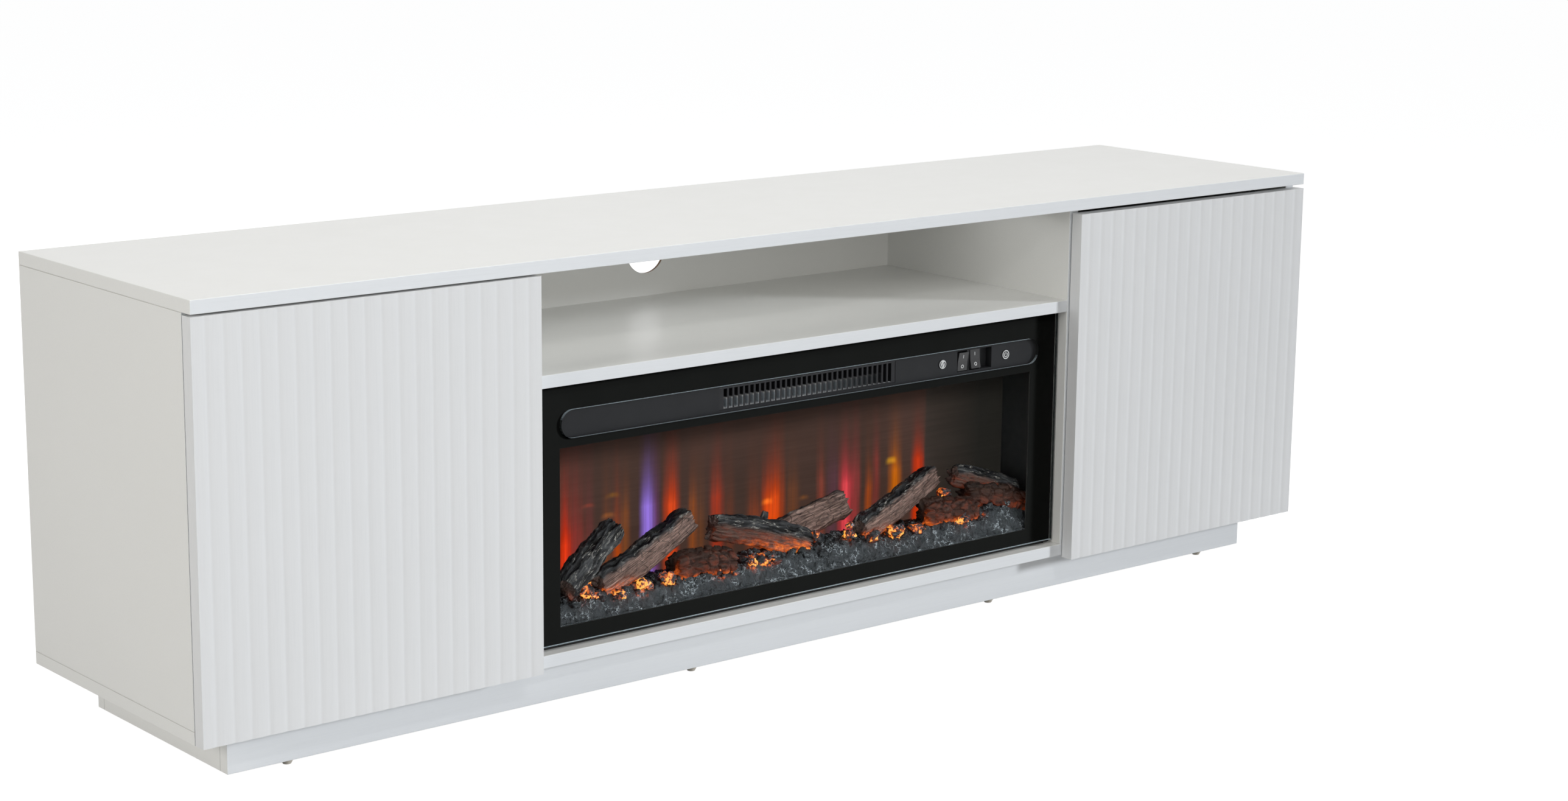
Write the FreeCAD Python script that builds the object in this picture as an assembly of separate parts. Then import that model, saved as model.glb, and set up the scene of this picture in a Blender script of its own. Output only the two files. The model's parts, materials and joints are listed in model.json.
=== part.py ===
import FreeCAD, Part
import os

# Fireplace TV stand: white boards on a plinth, two fluted doors, an open media bay
# and an electric fireplace insert below it. Millimetres, +Z up, front towards -Y,
# origin on the floor under the middle of the cabinet.

V = FreeCAD.Vector
LEFT, RIGHT = V(-1, 0, 0), V(1, 0, 0)
FRONT, BACK = V(0, -1, 0), V(0, 1, 0)
DOWN, UP = V(0, 0, -1), V(0, 0, 1)
ORIGIN = V(0, 0, 0)
SIGNS = (-1, 1)
FULL_TURN = 360

# Fits and cutting
overrun = 5.0
running_gap = 0.05
hole_gap = 0.1
seat_gap = 0.3

# Cabinet boards
overall_width = 1800.0
overall_depth = 412.0
overall_height = 560.0
board = 16.0
edge_round = 0.8
opening_width = 884.0
media_bay_height = 126.0

# Thin back panels, held in grooves
back_thickness = 4.0
back_inset = 19.0
groove_depth = 5.0
groove_slack = 0.4
media_hole_radius = 32.0
cord_hole_radius = 25.0

# Plinth and floor glides
plinth_side_setback = 55.0
plinth_setback = 49.0
plinth_height = 53.0
glide_height = 5.0
glide_radius = 7.5
glide_tip_radius = 5.0
glide_shares = (-0.904, -0.21, 0.405, 0.904)

# Shelves in the side cabinets, on pins
shelf_side_gap = 2.0
shelf_setback = 40.0
pin_radius = 2.5
pin_sink = 8.0
pin_reach = 8.0
pin_collar = 1.5
pin_collar_radius = 4.0
pin_pitch = 32.0
pin_steps = 2
pin_row_inset = 75.0

# Cam locks and their bolts
cam_radius = 7.5
cam_depth = 12.5
cam_setback = 24.0
cam_row_inset = 62.0
bolt_radius = 3.0
bolt_bite = 11.0
driver_slot_width = 1.6
driver_slot_length = 9.0
driver_slot_depth = 2.0

# Screws
screw_radius = 2.0
screw_head_radius = 4.0
screw_head = 2.5
plinth_screw_length = 40.0
plinth_screw_shares = (-0.79, -0.26, 0.26, 0.79)
bracket_screw_length = 12.0

# Fluted doors
door_thickness = 18.0
door_gap = 2.0
door_top_gap = 2.5
right_door_drop = 3.5
door_bottom_rise = 1.0
door_reveal = 3.0
flute_pitch = 22.1
flute_groove = 3.1
flute_shoulder = 6.0
flute_rise = 0.75

# Door hinges, in plan: u runs inwards from the cabinet's outer face, v forwards from
# the front edge of the boards
hinge_end_inset = 90.0
cup_radius = 17.4
cup_depth = 11.9
cup_wall = 1.0
cup_edge_distance = 22.5
cup_rim = 1.2
cup_flange = 1.0
cup_ear_reach = 26.0
cup_ear_width = 13.0
hinge_pin_radius = 2.0
link_pin_inset = 10.9
link_pin_advance = 5.2
arm_pin_inset = 31.8
arm_pin_advance = 0.6
link_bend_inset = 16.0
link_bend_advance = 10.0
link_thickness = 3.2
link_width = 10.0
eye_radius = 3.2
cheek_gap = 0.3
cheek_thickness = 2.0
arm_setback = 5.0
arm_length = 53.0
arm_web = 2.0
plate_thickness = 2.5
plate_height = 40.0
plate_length = 37.0
plate_setback = 23.0

# Push latches
latch_width = 16.0
latch_length = 60.0
latch_setback = 1.0
latch_drop = 110.0
latch_bore_depth = 50.0
plunger_radius = 4.0
plunger_length = 42.0
strike_size = 16.0
strike_thickness = 1.0

# Insert: glass, frame and sheet housing
glass_recess = 14.5
glass_thickness = 4.0
glass_side_gap = 2.5
glass_bottom_gap = 5.0
glass_top_gap = 3.0
window_border = 46.5
window_bottom_border = 20.0
window_top_border = 11.5
slot_height = 35.0
slot_drop = 31.0
slot_left_border = 46.5
slot_right_border = 35.5
frame_thickness = 2.0
frame_inset = 1.0
frame_bottom_gap = 1.5
housing_side_gap = 12.0
housing_top_gap = 10.0
housing_depth = 150.0
sheet = 1.5
deck_rise = 3.0

# Controls
fascia_thickness = 2.5
fascia_margin = 5.0
grille_left_inset = 246.0
grille_right_inset = 257.0
grille_height = 28.0
grille_depth = 8.0
grille_recess = 0.5
grille_lip = 4.0
grille_lip_thickness = 1.5
fin_pitch = 8.6
fin_thickness = 3.0
button_radius = 6.5
button_proud = 1.0
button_flange_radius = 8.0
button_flange = 1.5
button_float = 0.1
power_button_inset = 57.0
flame_button_inset = 173.0
bank_inset = 83.0
bank_width = 63.0
bank_wall = 2.0
bank_depth = 10.0
bank_floor = 1.5
rocker_count = 2
rocker_width = 17.0
rocker_height = 25.5
rocker_pitch = 22.5
rocker_first_inset = 11.0
rocker_side_gap = 0.4
rocker_end_gap = 1.4
rocker_dip = 1.0
rocker_shoulder = 4.0
rocker_foot = 8.0
rocker_foot_depth = 3.5
rocker_end_slope = 0.5
rocker_tilt = 8.0
rocker_pivot_depth = 5.5
rocker_pin_radius = 1.5
circuit_thickness = 1.6
circuit_margin = 22.0
switch_size = 6.0
switch_gap = 1.2

# Heater
duct_top_gap = 2.0
duct_tail = 8.0
element_setback = 20.0
element_depth = 12.0
element_rise = 8.0
element_height = 28.0
element_pitch = 12.0
element_rib = 3.0
blower_setback = 78.0
blower_rise = 30.0
blower_radius = 22.0
blower_end_gap = 5.0
blower_disc = 2.0
blower_blade = 1.0
blower_blade_depth = 6.0
blower_blades = 18
shaft_radius = 3.0
shaft_entry = 25.0
motor_radius = 20.0
motor_length = 38.0
motor_bore_depth = 30.0

# Flame picture, embers and logs
screen_depth = 87.0
screen_thickness = 3.0
screen_side_gap = 0.3
rotor_setback = 28.0
rotor_rise = 60.0
rotor_motor_radius = 18.0
rotor_motor_length = 34.0
rotor_bore_depth = 22.0
rotor_shaft_entry = 18.0
rotor_blade_length = 26.0
rotor_blade_reach = 19.0
rotor_blade_thickness = 1.2
rotor_blade_pitch = 58.0
rotor_blade_step = 72.0
strip_width = 10.0
chip_size = 5.0
chip_height = 1.2
chip_pitch = 48.0
strip_end_gap = 20.0
bed_front_gap = 1.5
bed_back_gap = 1.0
bed_side_gap = 4.0
bed_front_rise = 1.0
bed_back_rise = 20.0
bed_shell = 3.0
log_radius = 18.0
# Each log: x as a share of half the window's width, y as a share of the ember bed's depth,
# z as a share of the window's height, at both ends, then its two radii as shares
log_shares = (
    ((-0.93, 0.16, 0.05), (-0.71, 0.50, 0.38), (0.85, 0.75)),
    ((-0.80, 0.20, 0.07), (-0.39, 0.60, 0.36), (1.05, 0.85)),
    ((-0.30, 0.70, 0.30), (0.07, 0.26, 0.08), (0.75, 0.90)),
    ((-0.02, 0.78, 0.10), (0.31, 0.82, 0.25), (0.80, 0.85)),
    ((0.31, 0.28, 0.08), (0.69, 0.66, 0.36), (1.05, 0.85)),
    ((0.79, 0.68, 0.31), (0.98, 0.34, 0.09), (0.75, 0.80)),
    ((-0.44, 0.28, 0.06), (-0.22, 0.24, 0.06), (0.95, 0.90)),
    ((0.62, 0.28, 0.06), (0.84, 0.32, 0.06), (0.95, 0.90)),
)

# Cable gland and mounting brackets
gland_radius = 10.0
gland_length = 12.0
gland_bore = 4.0
gland_collar_radius = 13.0
gland_collar = 4.0
gland_side_inset = 130.0
gland_rise = 36.0
bracket_width = 20.0
bracket_height = 25.0
bracket_leg = 10.0
bracket_thickness = 2.0
bracket_front_inset = 20.0
bracket_back_inset = 25.0

# Places worked out from the sizes above
half_width = overall_width / 2
front_y = -overall_depth / 2
back_y = overall_depth / 2
carcass_y = front_y + door_thickness + door_gap
backing_y = back_y - back_inset - back_thickness
bottom_z = glide_height + plinth_height
floor_z = bottom_z + board
ceiling_z = overall_height - board
shelf_top_z = ceiling_z - media_bay_height
shelf_z = shelf_top_z - board
divider_in = opening_width / 2
divider_out = divider_in + board
side_in = half_width - board
plinth_x = half_width - plinth_side_setback
plinth_y = back_y - plinth_setback
plinth_row_y = plinth_y - board / 2
cam_rows = (carcass_y + cam_row_inset, backing_y - cam_row_inset)
pin_rows = (carcass_y + pin_row_inset, backing_y - pin_row_inset)
pin_z = (floor_z + ceiling_z) / 2
bolt_reach = cam_setback - cam_radius - seat_gap

door_width = half_width - divider_in - door_reveal
door_z = (bottom_z + door_bottom_rise, ceiling_z - door_top_gap)
door_back_y = carcass_y - door_gap
hinge_rows = (door_z[0] + hinge_end_inset, door_z[1] - hinge_end_inset)
latch_z = door_z[1] - latch_drop
latch_x = -divider_out - latch_width / 2

glass_front_y = carcass_y + glass_recess
glass_back_y = glass_front_y + glass_thickness
frame_back_y = glass_back_y + frame_thickness
glass_x = divider_in - glass_side_gap
glass_z = (floor_z + glass_bottom_gap, shelf_z - glass_top_gap)
window_x = glass_x - window_border
slot_x = (-glass_x + slot_left_border, glass_x - slot_right_border)
slot_z = (glass_z[1] - slot_drop - slot_height, glass_z[1] - slot_drop)
slot_mid_z = (slot_z[0] + slot_z[1]) / 2
window_z = (glass_z[0] + window_bottom_border, slot_z[0] - window_top_border)
window_height = window_z[1] - window_z[0]
housing_x = divider_in - housing_side_gap
housing_back_y = frame_back_y + housing_depth
housing_top_z = shelf_z - housing_top_gap
chamber_x = housing_x - sheet
chamber_z = floor_z + sheet
deck_z = window_z[1] + deck_rise
deck_top_z = deck_z + sheet

fascia_back_y = frame_back_y + fascia_thickness
fascia_x = (slot_x[0] - fascia_margin, slot_x[1] + fascia_margin)
fascia_z = (slot_z[0] - fascia_margin, slot_z[1] + fascia_margin)
lip_back_y = fascia_back_y + grille_lip_thickness
power_x = slot_x[1] - power_button_inset
flame_x = slot_x[1] - flame_button_inset
bank_x = (slot_x[1] - bank_inset - bank_width, slot_x[1] - bank_inset)
bank_back_y = fascia_back_y + bank_depth
bay_half_x = rocker_width / 2 + rocker_side_gap
bay_half_z = rocker_height / 2 + rocker_end_gap
rocker_y = frame_back_y + rocker_pivot_depth
bay_x = [bank_x[0] + rocker_first_inset + step * rocker_pitch for step in range(rocker_count)]

grille_width = slot_x[1] - slot_x[0] - grille_left_inset - grille_right_inset
duct_x = grille_width / 2 + grille_lip
duct_top_z = housing_top_z - sheet - duct_top_gap
blower_y = frame_back_y + blower_setback
blower_z = deck_top_z + blower_rise
duct_back_y = blower_y + blower_radius + duct_tail
screen_y = frame_back_y + screen_depth
screen_back_y = screen_y + screen_thickness
rotor_y = screen_back_y + rotor_setback
rotor_z = chamber_z + rotor_rise
bed_y = (frame_back_y + bed_front_gap, screen_y - bed_back_gap)
bed_x = chamber_x - bed_side_gap
bed_z = (window_z[0] + bed_front_rise, window_z[0] + bed_back_rise)
gland_x = -housing_x + gland_side_inset
gland_z = floor_z + gland_rise
cover_back_y = housing_back_y + sheet


def box(x, y, z):
    """Box between two places along each axis."""
    return Part.makeBox(x[1] - x[0], y[1] - y[0], z[1] - z[0], V(x[0], y[0], z[0]))


def about(middle, half):
    """Two places at the same distance on both sides of a middle."""
    return (middle - half, middle + half)


def rod(start, axis, radius, length):
    """Cylinder that begins at a point and runs along an axis."""
    return Part.makeCylinder(radius, length, start, axis)


def eased_board(x, y, z):
    """Board with all its edges slightly rounded."""
    plain = box(x, y, z)
    return plain.makeFillet(edge_round, plain.Edges)


def joined(shapes):
    """One solid out of pieces that meet or overlap."""
    return shapes[0].fuse(shapes[1:]).removeSplitter()


def mirrored(shape):
    """The same piece on the other side of the cabinet's middle."""
    return shape.mirror(ORIGIN, RIGHT)


def both_sides(shapes):
    """Pieces on the left together with their mirror images."""
    return shapes + [mirrored(shape) for shape in shapes]


def save(name, shape):
    shape.exportStep(f"parts/{name}.step")


def save_group(name, shapes):
    save(name, Part.makeCompound(shapes))


def save_pair(name, shape):
    """A left piece and its mirror image on the right, as two nodes."""
    save(f"left_{name}", shape)
    save(f"right_{name}", mirrored(shape))


def save_hung_pair(name, shape):
    """The same for what hangs with the doors, because the right door hangs a little lower."""
    save(f"left_{name}", shape)
    save(f"right_{name}", mirrored(shape).translated(DOWN * right_door_drop))


# Fasteners: each function gives the places, so pieces and holes stay in line

def upright_cams():
    """Face point, direction into the board and board end of each cam in the left uprights."""
    for face_x, inward in ((-side_in, LEFT), (-divider_out, RIGHT)):
        for y in cam_rows:
            yield V(face_x, y, floor_z + cam_setback), inward, DOWN
            yield V(face_x, y, ceiling_z - cam_setback), inward, UP


def shelf_cams():
    """The same for the left end of the centre shelf, with the cams in its underside."""
    for y in cam_rows:
        yield V(-divider_in + cam_setback, y, shelf_z), UP, LEFT


def bolt_start(face, inward, towards):
    """Where a cam bolt begins, beside its cam in the middle of the board."""
    return face + inward * (board / 2) + towards * (cam_setback - bolt_reach)


def cam_cuts(places):
    """Pockets for cams and holes for their bolts, through the board and into its neighbour."""
    cuts = []
    for face, inward, towards in places:
        cuts.append(rod(face - inward * overrun, inward, cam_radius + hole_gap, cam_depth + overrun))
        middle = face + inward * (board / 2)
        cuts.append(rod(middle, towards, bolt_radius + hole_gap, cam_setback + bolt_bite))
    return cuts


def cam_lock(face, inward, towards):
    """Zinc cam with a driver slot, just below the board's face."""
    disc = rod(face + inward * seat_gap, inward, cam_radius, cam_depth - seat_gap)
    across = inward.cross(towards)
    corner = face - towards * (driver_slot_length / 2) - across * (driver_slot_width / 2)
    slot = Part.makePolygon([
        corner,
        corner + towards * driver_slot_length,
        corner + towards * driver_slot_length + across * driver_slot_width,
        corner + across * driver_slot_width,
        corner,
    ])
    return disc.cut(Part.Face(slot).extrude(inward * (driver_slot_depth + seat_gap)))


def cam_bolt(face, inward, towards):
    return rod(bolt_start(face, inward, towards), towards, bolt_radius, bolt_reach + bolt_bite)


def left_cam_places():
    return list(upright_cams()) + list(shelf_cams())


def all_cam_cuts():
    return both_sides(cam_cuts(left_cam_places()))


def plinth_screw_heads():
    """Centre of each plinth screw's head on the bottom panel."""
    for share in plinth_screw_shares:
        for sign in SIGNS:
            yield V(share * plinth_x, sign * plinth_row_y, floor_z)


def bracket_screw_heads():
    """Centre of each bracket screw on the left brackets' feet."""
    for y in bracket_rows():
        yield V(-housing_x - (bracket_thickness + bracket_leg) / 2, y, floor_z + bracket_thickness)


def bracket_rows():
    return (frame_back_y + bracket_front_inset, housing_back_y - bracket_back_inset)


def screw(top, length, head_above):
    """Screw with a flat round head, driven downwards from a surface."""
    head_top = top + UP * head_above
    head = rod(head_top, DOWN, screw_head_radius, screw_head)
    return joined([head, rod(head_top, DOWN, screw_radius, length)])


def screw_holes():
    """Holes for all screws that pass through the bottom panel."""
    cuts = []
    for top in plinth_screw_heads():
        cuts.append(rod(top + UP * overrun, DOWN, screw_head_radius + hole_gap, overrun + screw_head))
        cuts.append(rod(top, DOWN, screw_radius + hole_gap, plinth_screw_length))
    for side in both_sides([rod(top, DOWN, screw_radius + hole_gap, bracket_screw_length)
                            for top in bracket_screw_heads()]):
        cuts.append(side)
    return cuts


def pin_places():
    """Face point and direction into the board of each shelf pin hole, left cabinet."""
    for face_x, inward in ((-side_in, LEFT), (-divider_out, RIGHT)):
        for y in pin_rows:
            yield V(face_x, y, pin_z), inward


def pin_holes():
    cuts = []
    for face, inward in pin_places():
        for step in range(-pin_steps, pin_steps + 1):
            start = face + UP * (step * pin_pitch) - inward * overrun
            cuts.append(rod(start, inward, pin_radius + hole_gap, pin_sink + overrun))
    return cuts


def shelf_pin(face, inward):
    shank = rod(face + inward * pin_sink, inward * -1, pin_radius, pin_sink + pin_reach)
    return joined([shank, rod(face, inward * -1, pin_collar_radius, pin_collar)])


# Boards

def back_groove(z):
    """Groove for the back panels across the top or bottom panel."""
    reach = side_in + groove_depth
    return box((-reach, reach), (backing_y, backing_y + back_thickness + groove_slack), z)


def upright_groove(x):
    """Groove for a back panel's edge down an upright."""
    y = (backing_y, backing_y + back_thickness + groove_slack)
    return box(x, y, (floor_z - overrun, ceiling_z + overrun))


def top_panel():
    panel = eased_board((-half_width, half_width), (front_y, back_y), (ceiling_z, overall_height))
    return panel.cut([back_groove((ceiling_z, ceiling_z + groove_depth))] + all_cam_cuts())


def bottom_panel():
    panel = eased_board((-half_width, half_width), (carcass_y, back_y), (bottom_z, floor_z))
    return panel.cut([back_groove((floor_z - groove_depth, floor_z))] + all_cam_cuts() + screw_holes())


def side_panel():
    panel = eased_board((-half_width, -side_in), (carcass_y, back_y), (floor_z, ceiling_z))
    groove = upright_groove((-side_in - groove_depth, -side_in))
    return panel.cut([groove] + cam_cuts(left_cam_places()) + pin_holes())


def divider():
    panel = eased_board((-divider_out, -divider_in), (carcass_y, back_y), (floor_z, ceiling_z))
    outer_groove = upright_groove((-divider_out, -divider_out + groove_depth))
    inner_groove = upright_groove((-divider_in - groove_depth, -divider_in))
    return panel.cut([outer_groove, inner_groove] + cam_cuts(left_cam_places()) + pin_holes())


def center_shelf():
    panel = eased_board((-divider_in, divider_in), (carcass_y, backing_y), (shelf_z, shelf_top_z))
    return panel.cut(both_sides(cam_cuts(shelf_cams())))


def back_panel(x):
    """Thin panel between two grooves, standing on the bottom panel's groove."""
    z = (floor_z - groove_depth, ceiling_z + groove_depth - seat_gap)
    return box(x, (backing_y, backing_y + back_thickness), z)


def side_back_panel():
    outer = -side_in - groove_depth + seat_gap
    inner = -divider_out + groove_depth - seat_gap
    return back_panel((outer, inner))


def center_back_panel():
    """Middle back panel with the media cable hole and the hole for the insert's lead."""
    reach = divider_in + groove_depth - seat_gap
    media_z = (shelf_top_z + ceiling_z) / 2
    start_y = backing_y - overrun
    through = back_thickness + overrun + overrun
    holes = [
        rod(V(0, start_y, media_z), BACK, media_hole_radius, through),
        rod(V(gland_x, start_y, gland_z), BACK, cord_hole_radius, through),
    ]
    return back_panel((-reach, reach)).cut(holes)


def cabinet_shelf():
    x = (-side_in + shelf_side_gap, -divider_out - shelf_side_gap)
    y = (carcass_y + shelf_setback, backing_y - shelf_side_gap)
    rest_z = pin_z + pin_radius + running_gap
    return eased_board(x, y, (rest_z, rest_z + board))


def plinth_long_board():
    """Front board of the plinth, with the holes for its screws."""
    plain = eased_board((-plinth_x, plinth_x), (-plinth_y, -plinth_y + board), (glide_height, bottom_z))
    return plain.cut(screw_holes())


def plinth_end():
    inner_y = plinth_y - board
    return eased_board((-plinth_x, -plinth_x + board), (-inner_y, inner_y), (glide_height, bottom_z))


def plinth_cross_rail():
    """Rail under the left divider, between the long boards."""
    inner_y = plinth_y - board
    return eased_board((-divider_out, -divider_in), (-inner_y, inner_y), (glide_height, bottom_z))


def floor_glides():
    glides = []
    for share in glide_shares:
        for sign in SIGNS:
            base = V(share * plinth_x, sign * plinth_row_y, 0)
            glides.append(Part.makeCone(glide_tip_radius, glide_radius, glide_height, base, UP))
    return glides


# Doors, hinges and latches

def plan(u, v, z):
    """Point given inwards from the left outer face and forwards from the boards' front edge."""
    return V(-half_width + u, carcass_y - v, z)


def bowed_edge(start, end, bow):
    """Arc between two points of the door's front, bowed forwards, or backwards if negative."""
    middle = (start + end) * 0.5 + FRONT * bow
    return Part.Arc(start, middle, end).toShape()


def fluted_front(start_x, z):
    """Edges of the fluted front: flat ridges whose rounded shoulders run down into narrow grooves."""
    count = int((door_width - flute_groove) / flute_pitch)
    first = start_x + (door_width - (count - 1) * flute_pitch) / 2
    half_groove = flute_groove / 2
    groove_y = front_y + flute_rise
    # A shoulder is level where it leaves the flat and twice its mean slope where it meets the groove
    shoulder_bow = flute_rise / 4
    groove_bow = -half_groove * flute_rise / flute_shoulder
    edges = []
    at = V(start_x, front_y, z)
    for index in range(count):
        groove_x = first + index * flute_pitch
        flat_end = V(groove_x - half_groove - flute_shoulder, front_y, z)
        near = V(groove_x - half_groove, groove_y, z)
        far = V(groove_x + half_groove, groove_y, z)
        flat_start = V(groove_x + half_groove + flute_shoulder, front_y, z)
        edges.append(Part.LineSegment(at, flat_end).toShape())
        edges.append(bowed_edge(flat_end, near, shoulder_bow))
        edges.append(bowed_edge(near, far, groove_bow))
        edges.append(bowed_edge(far, flat_start, shoulder_bow))
        at = flat_start
    edges.append(Part.LineSegment(at, V(start_x + door_width, front_y, z)).toShape())
    return edges


def door():
    """Fluted door with two bores for its hinge cups."""
    x = (-half_width, -half_width + door_width)
    corners = [
        V(x[1], front_y, door_z[0]),
        V(x[1], door_back_y, door_z[0]),
        V(x[0], door_back_y, door_z[0]),
        V(x[0], front_y, door_z[0]),
    ]
    straight = [Part.LineSegment(a, b).toShape() for a, b in zip(corners, corners[1:])]
    outline = Part.Wire(Part.__sortEdges__(fluted_front(x[0], door_z[0]) + straight))
    slab = Part.Face(outline).extrude(UP * (door_z[1] - door_z[0]))
    bores = []
    for z in hinge_rows:
        start = plan(cup_edge_distance, door_gap, z) + BACK * overrun
        bores.append(rod(start, FRONT, cup_radius + hole_gap, overrun + cup_depth))
    return slab.cut(bores)


def hinge_cup(z):
    """Cup sunk in the door, with its flange on the door's back and the link's pin across it."""
    mouth = plan(cup_edge_distance, door_gap, z)
    flange_start = mouth + BACK * cup_flange
    inner_radius = cup_radius - cup_wall
    ear = box(
        about(mouth.x, cup_ear_width / 2),
        (mouth.y, mouth.y + cup_flange),
        about(z, cup_ear_reach),
    )
    shell = joined([
        rod(mouth, FRONT, cup_radius, cup_depth),
        rod(mouth, BACK, cup_radius + cup_rim, cup_flange),
        ear,
    ])
    hollow = rod(flange_start, FRONT, inner_radius, cup_flange + cup_depth - cup_wall)
    pin_start = plan(link_pin_inset, link_pin_advance, z - cup_radius)
    pin = rod(pin_start, UP, hinge_pin_radius, cup_radius + cup_radius)
    pin = pin.common(rod(mouth, FRONT, cup_radius - cup_wall / 2, cup_depth))
    return joined([shell.cut(hollow), pin])


def link_bar(start, end):
    """Straight stretch of the cranked link, in plan, at the link's lower face."""
    along = (end - start).normalize()
    aside = along.cross(UP) * (link_thickness / 2)
    outline = Part.makePolygon([start + aside, end + aside, end - aside, start - aside, start + aside])
    return Part.Face(outline).extrude(UP * link_width)


def hinge_link(z):
    """Cranked link between the arm's pin and the cup's pin."""
    low = z - link_width / 2
    cup_pin = plan(link_pin_inset, link_pin_advance, low)
    bend = plan(link_bend_inset, link_bend_advance, low)
    arm_pin = plan(arm_pin_inset, arm_pin_advance, low)
    body = joined([
        link_bar(cup_pin, bend),
        link_bar(bend, arm_pin),
        rod(bend, UP, link_thickness / 2, link_width),
        rod(cup_pin, UP, eye_radius, link_width),
        rod(arm_pin, UP, eye_radius, link_width),
    ])
    holes = [rod(pin + DOWN * overrun, UP, hinge_pin_radius + running_gap, link_width + overrun + overrun)
             for pin in (cup_pin, arm_pin)]
    return body.cut(holes)


def plan_box(u, v, z):
    """Box given in the hinge's plan places."""
    return box((-half_width + u[0], -half_width + u[1]), (carcass_y - v[1], carcass_y - v[0]), z)


def hinge_arm(z):
    """Channel arm on its mounting plate, with cheeks that hold the link's pin."""
    plate_u = (board, board + plate_thickness)
    plate_v = (-plate_setback - plate_length, -plate_setback)
    arm_u = (plate_u[1], arm_pin_inset + eye_radius)
    arm_v = (-arm_setback - arm_length, -arm_setback)
    inner_half = link_width / 2 + cheek_gap
    outer_half = inner_half + cheek_thickness
    channel = plan_box(arm_u, arm_v, about(z, outer_half))
    hollow_u = (arm_u[0] - overrun, arm_u[1] - arm_web)
    hollow_v = (arm_v[0] - overrun, arm_v[1] + overrun)
    channel = channel.cut(plan_box(hollow_u, hollow_v, about(z, inner_half)))
    pieces = [plan_box(plate_u, plate_v, about(z, plate_height / 2)), channel]
    for low in (z - outer_half, z + inner_half):
        cheek_u = about(arm_pin_inset, eye_radius)
        pieces.append(plan_box(cheek_u, (-arm_setback, arm_pin_advance), (low, low + cheek_thickness)))
        pieces.append(rod(plan(arm_pin_inset, arm_pin_advance, low), UP, eye_radius, cheek_thickness))
    pin_start = plan(arm_pin_inset, arm_pin_advance, z - outer_half)
    pieces.append(rod(pin_start, UP, hinge_pin_radius, outer_half + outer_half))
    return joined(pieces)


def latch_housing():
    """Latch body on the divider's cabinet side, bored for the plunger."""
    y = (carcass_y + latch_setback, carcass_y + latch_setback + latch_length)
    body = eased_board((-divider_out - latch_width, -divider_out), y, about(latch_z, latch_width / 2))
    mouth = V(latch_x, y[0] - overrun, latch_z)
    return body.cut(rod(mouth, BACK, plunger_radius + running_gap, latch_bore_depth + overrun))


def latch_plunger():
    tip_y = door_back_y + strike_thickness + seat_gap
    return rod(V(latch_x, tip_y, latch_z), BACK, plunger_radius, plunger_length)


def strike_plate():
    half = strike_size / 2
    y = (door_back_y, door_back_y + strike_thickness)
    return box(about(latch_x, half), y, about(latch_z, half))


# Fireplace insert: outer pieces

def slot_shape(y):
    """Long slot with round ends, through a plate at the given places along Y."""
    radius = slot_height / 2
    ends = (slot_x[0] + radius, slot_x[1] - radius)
    pieces = [box(ends, y, about(slot_mid_z, radius))]
    for x in ends:
        pieces.append(rod(V(x, y[0], slot_mid_z), BACK, radius, y[1] - y[0]))
    return joined(pieces)


def front_glass():
    y = (glass_front_y, glass_back_y)
    pane = box((-glass_x, glass_x), y, glass_z)
    return pane.cut(slot_shape((y[0] - overrun, y[1] + overrun)))


def front_frame():
    """Black sheet behind the glass, open at the window and the control slot."""
    y = (glass_back_y, frame_back_y)
    cut_y = (y[0] - overrun, y[1] + overrun)
    reach = glass_x - frame_inset
    plate = box((-reach, reach), y, (floor_z + frame_bottom_gap, glass_z[1] - frame_inset))
    window = box((-window_x, window_x), cut_y, window_z)
    return plate.cut([window, slot_shape(cut_y)])


def insert_housing():
    """Sheet box with a deck between the flame chamber and the heater, open in front and behind."""
    y = (frame_back_y, housing_back_y)
    cut_y = (y[0] - overrun, y[1] + overrun)
    shell = box((-housing_x, housing_x), y, (floor_z, housing_top_z))
    chamber = box((-chamber_x, chamber_x), cut_y, (chamber_z, deck_z))
    heater_room = box((-chamber_x, chamber_x), cut_y, (deck_top_z, housing_top_z - sheet))
    bearing_start = V(-housing_x - overrun, rotor_y, rotor_z)
    bearing = rod(bearing_start, RIGHT, shaft_radius + running_gap, sheet + overrun)
    return shell.cut([chamber, heater_room, bearing])


def insert_back_cover():
    plate = box((-housing_x, housing_x), (housing_back_y, cover_back_y), (floor_z, housing_top_z))
    start = V(gland_x, housing_back_y - overrun, gland_z)
    return plate.cut(rod(start, BACK, gland_bore, sheet + overrun + overrun))


def cord_gland():
    """Round gland with a collar, on the back cover around the lead's hole."""
    seat = V(gland_x, cover_back_y, gland_z)
    body = joined([
        rod(seat, BACK, gland_collar_radius, gland_collar),
        rod(seat, BACK, gland_radius, gland_length),
    ])
    return body.cut(rod(seat + FRONT * overrun, BACK, gland_bore, gland_length + overrun + overrun))


def insert_bracket(y):
    """Angle on the bottom panel against the housing's left wall, with a screw hole in its foot."""
    wall_x = (-housing_x - bracket_thickness, -housing_x)
    foot_x = (-housing_x - bracket_leg, -housing_x)
    along = about(y, bracket_width / 2)
    angle = joined([
        box(wall_x, along, (floor_z, floor_z + bracket_height)),
        box(foot_x, along, (floor_z, floor_z + bracket_thickness)),
    ])
    top = V(-housing_x - (bracket_thickness + bracket_leg) / 2, y, floor_z + bracket_thickness)
    return angle.cut(rod(top + UP * overrun, DOWN, screw_radius + hole_gap, overrun + bracket_screw_length))


# Fireplace insert: controls

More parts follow.
